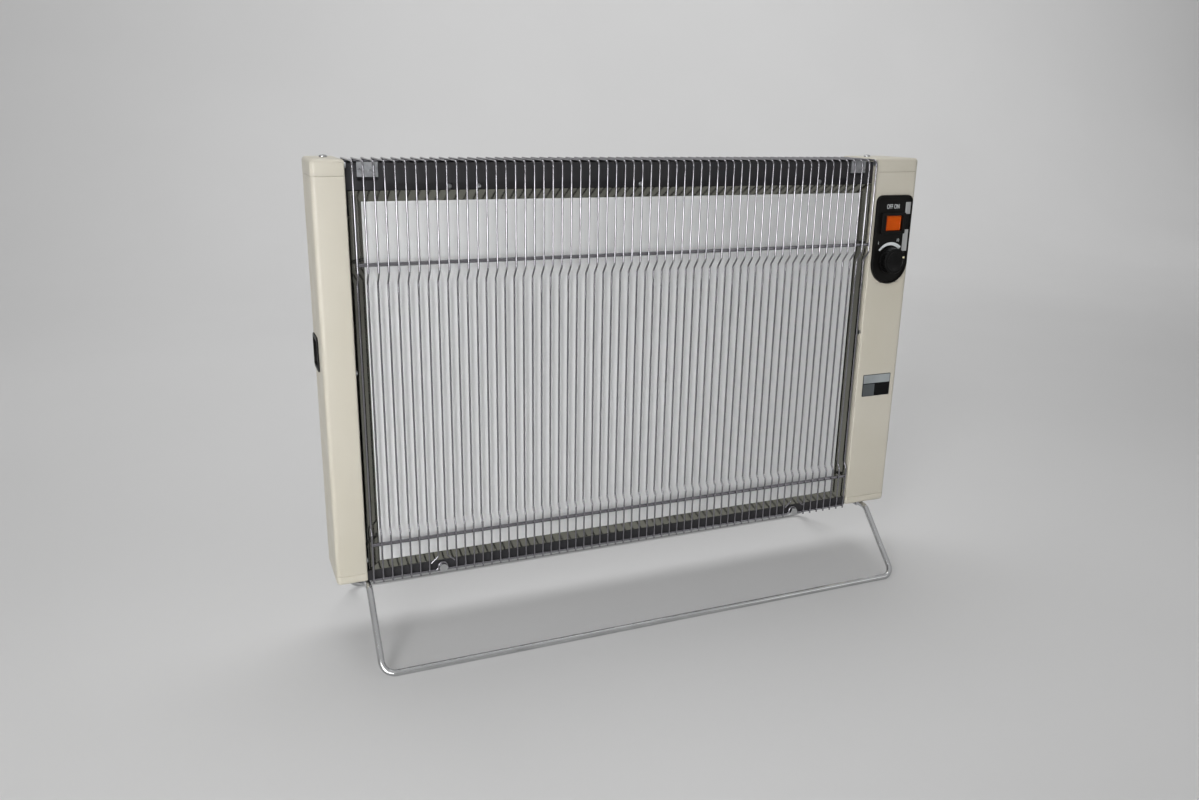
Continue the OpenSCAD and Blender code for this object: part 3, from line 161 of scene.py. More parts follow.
def relief(mat, source, height_mm, strength=1.0):
    """Bump of a given height, chained in front of any that is there."""
    nodes, links = mat.node_tree.nodes, mat.node_tree.links
    shader = nodes["Principled BSDF"]
    bump = nodes.new("ShaderNodeBump")
    bump.inputs["Distance"].default_value = height_mm * MM
    bump.inputs["Strength"].default_value = strength
    links.new(source, bump.inputs["Height"])
    if shader.inputs["Normal"].links:
        links.new(shader.inputs["Normal"].links[0].from_socket, bump.inputs["Normal"])
    links.new(bump.outputs["Normal"], shader.inputs["Normal"])


print("node helpers ready")

# %% [markdown]
# ### Baked enamel
#
# The columns are sprayed with cream enamel and baked. Close up, such paint has the dimples of
# orange peel, and with age it yellows a little in patches. The dark plate and the back are a plain
# satin grey, sprayed the same way. A colour is written as it renders, in linear values.


# %% Painted sheet
def enamel(name, color, aged, roughness, scuffs=True):
    mat = new_finish(name, color, roughness, Specular_IOR_Level=0.4)
    mottle(mat, noise(mat, 7, 5), color, aged)
    uneven_gloss(mat, noise(mat, 38, 4), roughness - 0.07, roughness + 0.09)
    relief(mat, noise(mat, 620, 2), 0.05, 0.35)
    if scuffs:
        relief(mat, noise(mat, 2600, 1), 0.012, 0.5)
    return mat


FINISH = {}
FINISH["cream_paint"] = enamel("cream enamel", (0.65, 0.615, 0.53), (0.622, 0.585, 0.49), 0.42)
FINISH["dark_paint"] = enamel("dark grey enamel", (0.021, 0.021, 0.024), (0.027, 0.026, 0.028), 0.5)
print("enamels:", ", ".join(mat.name for mat in FINISH.values()))

# %% [markdown]
# ### Ceramic coat
#
# The panel glows in the far infrared, so it has a matt white ceramic coat. It is sprayed on and
# fired, which leaves a fine even tooth, and long heating turns it very slightly grey in patches.


# %% Panel coat
def ceramic_coat(color, smoked):
    mat = new_finish("white ceramic coat", color, 0.72, Specular_IOR_Level=0.35)
    mottle(mat, noise(mat, 5, 4), color, smoked)
    relief(mat, noise(mat, 1500, 3), 0.06, 0.5)
    uneven_gloss(mat, noise(mat, 60, 3), 0.64, 0.8)
    return mat


FINISH["ceramic"] = ceramic_coat((0.76, 0.765, 0.77), (0.728, 0.734, 0.736))
print("panel coat:", FINISH["ceramic"].name)

# %% [markdown]
# ### Bright metals
#
# Chrome is almost a mirror. What tells it from a perfect one is a faint haze, which the polishing
# wheel draws out along the rod; here a plain noise drives its roughness. Zinc plate is duller and
# has a blotchy spangle, and the mirror strips are rolled sheet with fine lines.


# %% Chrome, plate and mirror sheet
def chrome(name, color, roughness):
    mat = new_finish(name, color, roughness, 1.0)
    uneven_gloss(mat, noise(mat, 90, 5), roughness * 0.6, roughness * 1.7)
    mottle(mat, noise(mat, 30, 3), color, tuple(c * 0.9 for c in color))
    relief(mat, noise(mat, 420, 2), 0.01, 0.4)
    return mat


def rolled_sheet(name, color, roughness, stretch):
    mat = new_finish(name, color, roughness, 1.0)
    lines = noise(mat, 700, 3, stretch)
    uneven_gloss(mat, lines, roughness * 0.6, roughness * 1.5)
    relief(mat, lines, 0.01, 0.5)
    mottle(mat, noise(mat, 12, 4), color, tuple(c * 0.86 for c in color))
    return mat


def zinc_plate(name, color, roughness):
    mat = new_finish(name, color, roughness, 1.0)
    mottle(mat, noise(mat, 160, 3), color, tuple(c * 0.72 for c in color))
    uneven_gloss(mat, noise(mat, 210, 4), roughness - 0.1, roughness + 0.14)
    relief(mat, noise(mat, 900, 2), 0.02, 0.5)
    return mat


# The guard wire's chrome is darker than the rods' as painted shade: its low colour stands in for
# the dark surroundings that the wires mirror.
FINISH["chrome_wire"] = chrome("guard wire chrome darkened as painted shade", (0.27, 0.265, 0.285), 0.11)
FINISH["chrome_rod"] = chrome("chromed rod", (0.55, 0.556, 0.56), 0.08)
# The mirror strips get a dark olive colour as painted reflection: it stands in for the dark
# surroundings that they mirror.
FINISH["mirror_sheet"] = rolled_sheet("mirror sheet", (0.24, 0.24, 0.205), 0.09, (0.02, 1, 1))
FINISH["plated_steel"] = zinc_plate("zinc-plated steel", (0.50, 0.51, 0.53), 0.34)
FINISH["silver_foil"] = rolled_sheet("silver inlay", (0.70, 0.71, 0.71), 0.45, (1, 1, 0.03))
FINISH["element_sheath"] = zinc_plate("heat-darkened sheath", (0.16, 0.14, 0.13), 0.5)
FINISH["brass_bob"] = rolled_sheet("turned brass", (0.60, 0.42, 0.14), 0.28, (0.05, 1, 1))
print(len(FINISH), "finishes so far")

# %% [markdown]
# ### Plastics, rubber and the rest
#
# Moulded plastic has a spark-eroded grain where hands touch it and is smooth where it must look
# precious. The orange button is a clear tinted cap: its coat is glossy, and light goes a little way
# into it, which subsurface scattering gives.


# %% Moulded pieces
def moulded(name, color, roughness, grain_mm=0.03, scale=1700, **extra):
    mat = new_finish(name, color, roughness, **extra)
    mottle(mat, noise(mat, 40, 4), color, tuple(c * 1.25 + 0.002 for c in color))
    uneven_gloss(mat, noise(mat, 120, 3), roughness - 0.06, roughness + 0.08)
    relief(mat, noise(mat, scale, 2), grain_mm, 0.5)
    return mat


FINISH["black_plastic"] = moulded(
    "black moulding", (0.0042, 0.0039, 0.0035), 0.42, Specular_IOR_Level=0.16)
FINISH["knob_plastic"] = moulded(
    "black knob", (0.003, 0.003, 0.003), 0.33, 0.01, Specular_IOR_Level=0.16)
FINISH["orange_plastic"] = moulded(
    "orange lens", (0.57, 0.078, 0.0005), 0.35, 0.008, 600, Specular_IOR_Level=0.2,
    Coat_Weight=0.1, Coat_Roughness=0.1, Subsurface_Weight=0.15, Subsurface_Scale=0.002)
FINISH["white_print"] = moulded("white inlay", (0.70, 0.73, 0.74), 0.5, 0.01)
FINISH["cream_dot"] = moulded("cream dot", (0.72, 0.66, 0.44), 0.4, 0.01)
FINISH["badge_face"] = rolled_sheet("plate rim", (0.02, 0.02, 0.021), 0.4, (0.05, 1, 1))
FINISH["white_ceramic"] = moulded("glazed ceramic", (0.78, 0.75, 0.66), 0.3, 0.02, 500)
FINISH["fibre_board"] = moulded("fibre board", (0.52, 0.50, 0.43), 0.9, 0.25, 340)
FINISH["circuit_board"] = moulded("green laminate", (0.012, 0.10, 0.045), 0.4, 0.02, 900)
FINISH["white_plastic"] = moulded("white moulding", (0.74, 0.74, 0.71), 0.45, 0.03, 800)
FINISH["wire_insulation"] = moulded("lead insulation", (0.35, 0.028, 0.018), 0.5, 0.02, 900)
FINISH["black_rubber"] = moulded("black rubber", (0.012, 0.012, 0.012), 0.75, 0.04, 1100)
badge_grey = moulded("plate silver band", (0.30, 0.325, 0.335), 0.5, 0.01)
badge_slate = moulded("plate slate field", (0.075, 0.083, 0.09), 0.5, 0.01)
print(len(FINISH), "finishes")

# %% [markdown]
# ### The carried-over solids
#
# Sheet pieces, rails and the parts inside already have their right shape in the CAD model. They
# keep it and only take a finish, by the material slot that the record gives each node.

# %% Dress the CAD nodes
for part in frame["record"]["subparts"]:
    node = frame["nodes"][part["node"]]
    node.data.materials.clear()
    node.data.materials.append(FINISH[part["material_slot"]])
print("dressed", len(frame["nodes"]), "CAD nodes")

# %% [markdown]
# ## Making pieces
#
# A new piece starts as a bmesh, which is Blender's editable mesh. `add` closes its seams, turns its
# faces outwards, makes it an object, puts it on the body it rides on and hides the CAD nodes that
# it stands for. Edges sharper than 32 degrees stay crisp, and the rest shade smooth.


# %% From bmesh to piece
WELD = 0.002 * MM
TOUCH = 0.01 * MM


def shade(mesh, sharp=32):
    mesh.shade_smooth()
    mesh.set_sharp_from_angle(angle=radians(sharp))


def add(bm, name, slot, stands_for=(), body="heater", sharp=32):
    """Makes a piece of a bmesh and frees it."""
    bmesh.ops.remove_doubles(bm, verts=bm.verts, dist=WELD)
    bmesh.ops.recalc_face_normals(bm, faces=bm.faces)
    mesh = bpy.data.meshes.new(name)
    bm.to_mesh(mesh)
    bm.free()
    mesh.materials.append(FINISH[slot])
    shade(mesh, sharp)
    piece = bpy.data.objects.new(name, mesh)
    scene.collection.objects.link(piece)
    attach(piece, body)
    if stands_for:
        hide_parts(*stands_for)
    print(f"{name}: {len(mesh.polygons)} faces")
    return piece


def block(low, high):
    """A bmesh of one block between two corners, in metres."""
    bm = bmesh.new()
    bmesh.ops.create_cube(bm, size=1)
    size = Vector(high) - Vector(low)
    bmesh.ops.scale(bm, vec=size, verts=bm.verts)
    bmesh.ops.translate(bm, vec=(Vector(low) + Vector(high)) / 2, verts=bm.verts)
    return bm


def round_edges(bm, test, radius_mm, segments=4):
    """Bevels the sharp edges whose two ends pass the test."""
    bm.normal_update()
    chosen = [e for e in bm.edges if test(e.verts[0].co, e.verts[1].co)
              and abs(e.calc_face_angle(pi)) > radians(30)]
    bmesh.ops.bevel(bm, geom=chosen, offset=radius_mm * MM, offset_type="OFFSET",
                    segments=segments, profile=0.5, affect="EDGES", material=-1,
                    clamp_overlap=True)


def same(a, b):
    return abs(a - b) < TOUCH


def upright(a, b):
    return same(a.x, b.x) and same(a.y, b.y)


def deep(a, b):
    return same(a.x, b.x) and same(a.z, b.z)


def on_plane(axis, place):
    """A test for edges that lie in the plane at this place on axis 0, 1 or 2."""
    return lambda a, b: same(a[axis], place) and same(b[axis], place)


def along(direction, axis, place):
    """A test for edges that run one way, such as upright, and start in that plane."""
    return lambda a, b: direction(a, b) and same(a[axis], place)


def merge(bm, *others):
    """Pours other bmeshes into the first."""
    for other in others:
        spare = bpy.data.meshes.new("spare")
        other.to_mesh(spare)
        other.free()
        bm.from_mesh(spare)
        bpy.data.meshes.remove(spare)
    return bm


print("piece helpers ready")

# %% [markdown]
# A window is a hole with straight sides. Four cuts mark its edges on the faces of one direction,
# and the faces inside are deleted. In a solid piece a bridge then joins the two rims. A bare
# sheet, which gets its thickness later, needs none.


# %% Windows
def cut(bm, axis, place):
    """Marks the mesh with edges where the plane at this place on the axis crosses it."""
    normal = Vector([float(k == axis) for k in range(3)])
    bmesh.ops.bisect_plane(bm, geom=bm.verts[:] + bm.edges[:] + bm.faces[:],
                           plane_co=normal * place, plane_no=normal)


def window(bm, axis, spans, bridge=True, keep=lambda centre: True):
    """Cuts a hole along axis 0, 1 or 2. spans gives (low, high) in metres for each other axis."""
    for other, (low, high) in spans.items():
        cut(bm, other, low)
        cut(bm, other, high)
    bm.normal_update()
    inside = []
    for face in bm.faces:
        centre = face.calc_center_median()
        if (abs(face.normal[axis]) > 0.9 and keep(centre)
                and all(low < centre[other] < high for other, (low, high) in spans.items())):
            inside.append(face)
    rims = {e for f in inside for e in f.edges if sum(g in inside for g in e.link_faces) == 1}
    bmesh.ops.delete(bm, geom=inside, context="FACES")
    if bridge:
        bmesh.ops.bridge_loops(bm, edges=[e for e in rims if e.is_valid])


print("window helper ready")

# %% [markdown]
# ## Columns
#
# Each column is a folded sheet tube with a wide soft edge outside and a tight one beside the guard.
# The right one is open behind, where a flat cover is screwed on. The tube could be an extruded
# outline. A block with its four upright edges bevelled is quicker, and its open ends and windows
# are then only faces taken away. Solidify gives the sheet its thickness, and a tiny bevel lets the
# rims catch the light.

# %% Column covers
SHEET, SHEET_RIM = 1.2, 0.25
EDGE_R, INNER_R, BACK_R = 5.0, 1.5, 0.3
CUP_HOLE, GLAND_HOLE = 15.6, 6.1
BEZEL_MARGIN, BEZEL_FOOT = 7, 16
BACK_SEAM = 0.3
cup_middle = sum(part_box("left_handle_cup"), Vector()) / 2
gland_middle = sum(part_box("cord_gland"), Vector()) / 2


def around(middle, half_mm):
    return middle - half_mm * MM, middle + half_mm * MM


def outer_inner(low, high, side):
    """The x of a piece's outer and inner faces. side is -1 on the left and 1 on the right."""
    return (low.x, high.x) if side < 0 else (high.x, low.x)


def wall_and_rim(piece, wall_mm, rim_mm):
    """Gives a bare sheet its thickness inwards and a tiny bevel, and puts both in its mesh."""
    wall = piece.modifiers.new("wall", "SOLIDIFY")
    wall.thickness, wall.offset = wall_mm * MM, -1
    rim = piece.modifiers.new("rim", "BEVEL")
    rim.width, rim.segments = rim_mm * MM, 2
    rim.limit_method, rim.angle_limit = "ANGLE", radians(60)
    ready = piece.evaluated_get(bpy.context.evaluated_depsgraph_get())
    piece.data, old = bpy.data.meshes.new_from_object(ready), piece.data
    piece.modifiers.clear()
    bpy.data.meshes.remove(old)
    shade(piece.data)
    return len(piece.data.polygons)


def column_cover(name, side):
    """The right column, of side 1, also has a window for the controls and is open behind."""
    low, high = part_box(name)
    outer, inner = outer_inner(low, high, side)
    middle = (low + high) / 2
    bm = block(low, high)
    round_edges(bm, along(upright, 0, outer), EDGE_R, 8)
    round_edges(bm, along(upright, 0, inner), INNER_R, 4)
    ends = [f for f in bm.faces if abs(f.normal.z) > 0.9]
    bmesh.ops.delete(bm, geom=ends, context="FACES")
    window(bm, 0, {1: around(cup_middle.y, CUP_HOLE), 2: around(cup_middle.z, CUP_HOLE)},
           bridge=False, keep=lambda c: (c.x - middle.x) * side > 0)
    if side > 0:
        bezel_low, bezel_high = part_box("control_bezel")
        window(bm, 1, {0: (bezel_low.x + BEZEL_MARGIN * MM, bezel_high.x - BEZEL_MARGIN * MM),
                       2: (bezel_low.z + BEZEL_FOOT * MM, bezel_high.z - BEZEL_MARGIN * MM)},
               bridge=False, keep=lambda c: c.y < middle.y)
        back_low, back_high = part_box("right_back_cover")
        window(bm, 1, {0: (back_low.x - BACK_SEAM * MM, back_high.x + BACK_SEAM * MM),
                       2: (low.z - MM, high.z + MM)},
               bridge=False, keep=lambda c: c.y > middle.y)
    piece = add(bm, name + "_sheet", "cream_paint", [name])
    print("with its wall:", wall_and_rim(piece, SHEET, SHEET_RIM), "faces")


column_cover("left_column_cover", -1)
column_cover("right_column_cover", 1)

back = block(*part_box("right_back_cover"))
round_edges(back, lambda a, b: True, BACK_R, 3)
window(back, 1, {0: around(gland_middle.x, GLAND_HOLE), 2: around(gland_middle.z, GLAND_HOLE)})
add(back, "right_back_sheet", "cream_paint", ["right_back_cover"])

# %% [markdown]
# ## Caps
#
# A pressed cap closes each end of a column. Its rim is well rounded, and a hairline seam shows
# where it meets the tube. The bevels go in turn: first the wide outer edges, then the rim, and
# last the tight inner edges together with the mitres that the rim left.

# %% Top and bottom caps
RIM_R, SEAM_R = 4.0, 0.2
SEAM = 0.25
SHEET_LOW, SHEET_HIGH = (corner.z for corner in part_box("left_column_cover"))


def cap(name, side, top):
    low, high = (c.copy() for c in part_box(name))
    if top:
        low.z = SHEET_HIGH + SEAM * MM
    else:
        high.z = SHEET_LOW - SEAM * MM
    bm = block(low, high)
    outer, inner = outer_inner(low, high, side)
    end, seam = (high.z, low.z) if top else (low.z, high.z)
    round_edges(bm, along(upright, 0, outer), EDGE_R, 8)
    round_edges(bm, on_plane(2, end), RIM_R, 6)
    round_edges(bm, along(upright, 0, inner), INNER_R, 4)
    round_edges(bm, on_plane(2, seam), SEAM_R, 2)
    add(bm, name.replace("_cap", "_cap_shell"), "cream_paint", [name])


for name, side, top in (("left_top_cap", -1, True), ("right_top_cap", 1, True),
                        ("left_bottom_cap", -1, False), ("right_bottom_cap", 1, False)):
    cap(name, side, top)

# %% [markdown]
# ## Wires and rods
#
# The guard, its cross wires and the stand are all one form: a round section pushed along a path.
# A curve with a bevel would do, but here the section is a disc that is extruded from point to
# point, so the ends come out closed. `rounded` turns each corner of a path into an arc first.


# %% Push a disc along a path
def rounded(points, radii, steps=6):
    """The path with each inner corner turned into an arc of its own radius, in millimetres."""
    path = [points[0]]
    for k in range(1, len(points) - 1):
        into = (points[k] - points[k - 1]).normalized()
        onward = (points[k + 1] - points[k]).normalized()
        turn = into.angle(onward)
        radius = radii[k - 1] * MM
        axis = into.cross(onward).normalized()
        centre = points[k] - into * radius * tan(turn / 2) + axis.cross(into) * radius
        first = points[k] - into * radius * tan(turn / 2) - centre
        path += [centre + Matrix.Rotation(turn * s / steps, 3, axis) @ first
                 for s in range(steps + 1)]
    return path + [points[-1]]


def stations(path, steady):
    """A place and turn for the disc at each point of the path."""
    placed = []
    for k, point in enumerate(path):
        before = (point - path[k - 1]).normalized() if k else Vector()
        after = (path[k + 1] - point).normalized() if k < len(path) - 1 else Vector()
        ahead = (before + after).normalized()
        across = steady.cross(ahead).normalized()
        turn = Matrix((across, ahead.cross(across), ahead)).transposed().to_4x4()
        placed.append(Matrix.Translation(point) @ turn)
    return placed


def pushed(path, radius_mm, sides, steady):
    """A bmesh of a round rod along a path. steady is a direction that the path never takes."""
    bm = bmesh.new()
    bmesh.ops.create_circle(bm, cap_ends=True, segments=sides, radius=radius_mm * MM)
    places = stations(path, Vector(steady))
    bmesh.ops.transform(bm, matrix=places[0], verts=bm.verts)
    end = bm.faces[:][0]
    for last, place in zip(places, places[1:]):
        grown = bmesh.ops.extrude_face_region(bm, geom=[end])["geom"]
        end = next(g for g in grown if isinstance(g, bmesh.types.BMFace))
        bmesh.ops.transform(bm, matrix=place @ last.inverted(), verts=end.verts[:])
    return bm


print("rod helpers ready")

# %% [markdown]
# ## Guard wires
#
# Sixty-one wires run up the front, kink back over the panel and forward again, and bend over the
# open top. They are all alike but for the four beside the notches, whose ends are turned aside.
# One wire is made and duplicated, and the four odd ones are pushed along their own paths.

# %% Sixty-one bent wires
WIRE_COUNT, WIRE_PITCH, WIRE_R = 61, 10.0, 1.0
SIDE_GAP = 6.0
UPPER_Y, MIDDLE_Y, LOWER_Y = -5.5, 2.2, -1.9
LOW_BEND, HIGH_BEND = 56.0, BODY_TOP - 114
LOW_KINK, HIGH_KINK = 3, 5
LOW_R, HIGH_R, TOP_R = 2.5, 3.5, 6
WIRE_TOP = BODY_TOP - 2
WIRE_BACK = (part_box("guard_wires")[1].y - CORNER.y) / MM
HANG = 1.6
NOTCH_WIRES = 7
SPLAY_Z, SPLAY_H = 11.0, 7


def wire_x(k):
    return LEFT_IN + SIDE_GAP + k * WIRE_PITCH


def points_of(geom):
    """The points among what an operator returns."""
    return [g for g in geom if isinstance(g, bmesh.types.BMVert)]


def wire_path(x, start):
    """From the places where the wire starts, up the front and back over the top."""
    bends = [(LOWER_Y, LOW_BEND - LOW_KINK), (MIDDLE_Y, LOW_BEND + LOW_KINK),
             (MIDDLE_Y, HIGH_BEND - HIGH_KINK), (UPPER_Y, HIGH_BEND + HIGH_KINK),
             (UPPER_Y, WIRE_TOP), (WIRE_BACK, WIRE_TOP)]
    corners = start + [at(x, y, z) for y, z in bends]
    radii = [LOW_R] * (len(start) + 1) + [HIGH_R, HIGH_R, TOP_R]
    return rounded(corners, radii, 5)


guard = pushed(wire_path(wire_x(0), [at(wire_x(0), LOWER_Y, -HANG)]), WIRE_R, 10, (1, 0, 0))
first_wire = guard.verts[:] + guard.edges[:] + guard.faces[:]
notch_left = (NOTCH_WIRES, NOTCH_WIRES + 1)
splayed = notch_left + tuple(WIRE_COUNT - 1 - k for k in notch_left)
for k in range(1, WIRE_COUNT):
    if k not in splayed:
        copy = bmesh.ops.duplicate(guard, geom=first_wire)["geom"]
        bmesh.ops.translate(guard, vec=(k * WIRE_PITCH * MM, 0, 0), verts=points_of(copy))
for k in splayed:
    lean = -1 if k in (notch_left[0], WIRE_COUNT - 2 - NOTCH_WIRES) else 1
    foot = [at(wire_x(k) + lean * (WIRE_PITCH - 2 * WIRE_R), LOWER_Y, SPLAY_Z),
            at(wire_x(k), LOWER_Y, SPLAY_Z + SPLAY_H)]
    merge(guard, pushed(wire_path(wire_x(k), foot), WIRE_R, 10, (1, 0.2, 0.1)))
add(guard, "guard_wire_set", "chrome_wire", ["guard_wires"], sharp=50)

# %% [markdown]
# ## Cross wires
#
# Three rods twice as thick as the wires are spot-welded behind them. A fourth, thinner one runs
# along the ends of the wires and humps over the two pins that the guard rests on.

# %% Cross wires and humps
CROSS_R, HUMP_WIRE_R, SPOT = 2.0, 1.3, 0.1
LAP, LOW_LAP = WIRE_R + CROSS_R - SPOT, WIRE_R + HUMP_WIRE_R - SPOT
ABOVE_KINK, LOW_CROSS_Z, TOP_CROSS_Y, HUMP_WIRE_Z = 14, 41.0, 56.3, 1
PIN_Z, PIN_R, PIN_GAP = 4.0, 3.5, 0.25
HUMP_R, HUMP_FOOT = PIN_R + HUMP_WIRE_R + PIN_GAP, 2
OVERHANG = 0.8
CROSS_X = (wire_x(0) - OVERHANG, wire_x(WIRE_COUNT - 1) + OVERHANG)
NOTCH_X = [(wire_x(notch_left[0]) + wire_x(notch_left[1])) / 2,
           (wire_x(splayed[2]) + wire_x(splayed[3])) / 2]
straight = [(LAP + UPPER_Y, HIGH_BEND + ABOVE_KINK), (LAP + LOWER_Y, LOW_CROSS_Z),
            (TOP_CROSS_Y, WIRE_TOP - LAP)]
cross = bmesh.new()
for y, z in straight:
    merge(cross, pushed([at(CROSS_X[0], y, z), at(CROSS_X[1], y, z)], CROSS_R, 24, (0, 0, 1)))
low_line = [(CROSS_X[0], HUMP_WIRE_Z)]
for x in NOTCH_X:
    low_line.append((x - HUMP_R - HUMP_FOOT, HUMP_WIRE_Z))
    low_line += [(x + HUMP_R * cos(radians(a)), PIN_Z + HUMP_R * sin(radians(a)))
                 for a in range(190, -11, -20)]
    low_line.append((x + HUMP_R + HUMP_FOOT, HUMP_WIRE_Z))
low_line.append((CROSS_X[1], HUMP_WIRE_Z))
low_path = [at(x, LOW_LAP + LOWER_Y, z) for x, z in low_line]
merge(cross, pushed(low_path, HUMP_WIRE_R, 16, (0, 1, 0)))
add(cross, "guard_cross_set", "chrome_wire", ["guard_cross_wires"], sharp=50)

# %% [markdown]
# ## Stand
#
# Each loop is one length of chromed rod. It leaves flat from under the body, bends down at the
# knee, and turns through two wide corners into the bar that lies on the floor. The knee's place
# comes from the slope of the leg and the places of the two straight runs.

# %% Two loops of rod
ROD_R = 3.5
LEG_SLOPE = radians(46)
KNEE_R, CORNER_R = 12.0, 14.0


def stand_loop(name, side):
    """side is -1 for the loop in front and 1 for the one behind."""
    low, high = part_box(name)
    x = high.x - ROD_R * MM
    top, floor = high.z - ROD_R * MM, ROD_R * MM
    bar = (low.y if side < 0 else high.y) - side * ROD_R * MM
    start = high.y if side < 0 else low.y
    knee = bar - side * (top - floor) / tan(LEG_SLOPE)
    half = [Vector((x, start, top)), Vector((x, knee, top)), Vector((x, bar, floor))]
    mirrored = [Vector((-p.x, p.y, p.z)) for p in reversed(half)]
    path = rounded(half + mirrored, [KNEE_R, CORNER_R, CORNER_R, KNEE_R], 12)
    add(pushed(path, ROD_R, 28, (0, 0, 1)), name + "_rod", "chrome_rod", [name], sharp=50)


stand_loop("front_stand", -1)
stand_loop("rear_stand", 1)

# %% [markdown]
# ## Control bezel
#
# The bezel is a shallow tray of black plastic with a round lower end and a raised lip. A block with
# two corners bevelled nearly to its middle gives the outline. Insetting the front face makes the
# lip, and a second inset that also sinks gives the floor and a slightly sloped wall.

# %% Bezel
bezel_low, bezel_high = (corner.copy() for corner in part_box("control_bezel"))
bezel_high.y = CORNER.y
FACE_PROUD = 2.5
FACE_Y = CORNER.y - FACE_PROUD * MM
LIP_W, LIP_SLOPE, LIP_SOFT = 1.6, 0.3, 0.55
CORNER_ROUND, FOOT_SHORT = 8, 0.02
CTRL_X = (bezel_low.x + bezel_high.x) / 2
button_box, frame_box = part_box("power_button"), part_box("switch_housing")
knob_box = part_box("power_knob")
BUTTON_Z = (button_box[0].z + button_box[1].z) / 2
KNOB_Z = (knob_box[0].z + knob_box[1].z) / 2
OPENING = (12.3, 9.05)
opening = {0: around(CTRL_X, OPENING[0]), 2: around(BUTTON_Z, OPENING[1])}


def front_faces(bm):
    bm.normal_update()
    return [f for f in bm.faces if f.normal.y < -0.9]


bm = block(bezel_low, bezel_high)
half_w = (bezel_high.x - bezel_low.x) / 2 / MM
round_edges(bm, along(deep, 2, bezel_low.z), half_w - FOOT_SHORT, 24)
round_edges(bm, along(deep, 2, bezel_high.z), CORNER_ROUND, 10)
front = front_faces(bm)
bmesh.ops.inset_region(bm, faces=front, thickness=LIP_W * MM, depth=0, use_even_offset=True)
bmesh.ops.inset_region(bm, faces=front, thickness=LIP_SLOPE * MM,
                       depth=-(FACE_Y - bezel_low.y), use_even_offset=True)
round_edges(bm, on_plane(1, bezel_low.y), LIP_SOFT, 4)
window(bm, 1, opening)
add(bm, "bezel_tray", "black_plastic", ["control_bezel"])

# %% [markdown]
# ## Switch
#
# A proud black frame surrounds the orange button, which lies about 4 mm down in it. The frame is a
# rounded block with a window. The button is a cap with a raised border round a flat field, and it
# has a stem behind it that pushes the latch.

# %% Switch frame
frame_low, frame_high = (c.copy() for c in frame_box)
frame_back = frame_high.y
frame_high.y = FACE_Y
FRAME_R, FRAME_SOFT, SLEEVE_WALL = 1.5, 0.45, 3
bm = block(frame_low, frame_high)
round_edges(bm, deep, FRAME_R, 5)
window(bm, 1, opening)
round_edges(bm, on_plane(1, frame_low.y), FRAME_SOFT, 3)
(left, right), (bottom, top) = opening[0], opening[2]
wall = SLEEVE_WALL * MM
sleeve = block((left - wall, FACE_Y, bottom - wall), (right + wall, frame_back, top + wall))
window(sleeve, 1, opening)
merge(bm, sleeve)
add(bm, "switch_frame", "black_plastic", ["switch_housing"])

# %% Orange button
BORDER, BORDER_SLOPE, SUNK_FIELD = 1.1, 0.25, 0.35
BUTTON_R, BUTTON_SOFT = 0.7, 0.3
CAP_L, STEM_R, STEM_L = 10.0, 2.5, 9.2
button_low, button_high = button_box
bm = block(button_low, (button_high.x, button_low.y + CAP_L * MM, button_high.z))
front = front_faces(bm)
bmesh.ops.inset_region(bm, faces=front, thickness=BORDER * MM, use_even_offset=True)
bmesh.ops.inset_region(bm, faces=front, thickness=BORDER_SLOPE * MM, depth=-SUNK_FIELD * MM,
                       use_even_offset=True)
ends = [along(deep, 0, corner.x) for corner in button_box]
round_edges(bm, lambda a, b: any(end(a, b) for end in ends), BUTTON_R, 4)
round_edges(bm, on_plane(1, button_low.y), BUTTON_SOFT, 3)
stem = bmesh.new()
bmesh.ops.create_cone(stem, cap_ends=True, segments=32, radius1=STEM_R * MM,
                      radius2=STEM_R * MM, depth=STEM_L * MM)
bmesh.ops.rotate(stem, cent=(0, 0, 0), matrix=Matrix.Rotation(pi / 2, 3, "X"), verts=stem.verts)
bmesh.ops.translate(stem, vec=(CTRL_X, button_high.y - STEM_L / 2 * MM, BUTTON_Z),
                    verts=stem.verts)
merge(bm, stem)
add(bm, "button_cap", "orange_plastic", ["power_button"], "power_button")

# %% [markdown]
# ## Knob
#
# The knob is turned plastic, so its section is drawn once as a line of edges and spun round its
# axis. Soft flutes for the fingers are pressed into its side afterwards by moving the points of the
# side in and out as the angle goes round. The dot is a small domed disc, spun the same way.

# %% Knob and pointer
KNOB_R, KNOB_FRONT = 16.0, knob_box[0].y
FLUTES, FLUTE_DEPTH = 24, 0.3
FLUTED_FROM_R, FLUTE_START, FLUTE_STOP = 15.2, 1.2, 3
BACKWARD, SIDEWAYS = Vector((0, 1, 0)), Vector((1, 0, 0))


def spun(profile, centre, axis, start, steps):
    """Spins a line of (radius, height) points in millimetres about an axis through centre."""
    bm = bmesh.new()
    verts = [bm.verts.new(centre + start * r * MM + axis * h * MM) for r, h in profile]
    for a, b in zip(verts, verts[1:]):
        bm.edges.new((a, b))
    bmesh.ops.spin(bm, geom=bm.verts[:] + bm.edges[:], cent=centre, axis=axis, angle=2 * pi,
                   steps=steps, use_merge=True, use_duplicate=False)
    bmesh.ops.remove_doubles(bm, verts=bm.verts, dist=WELD)
    return bm


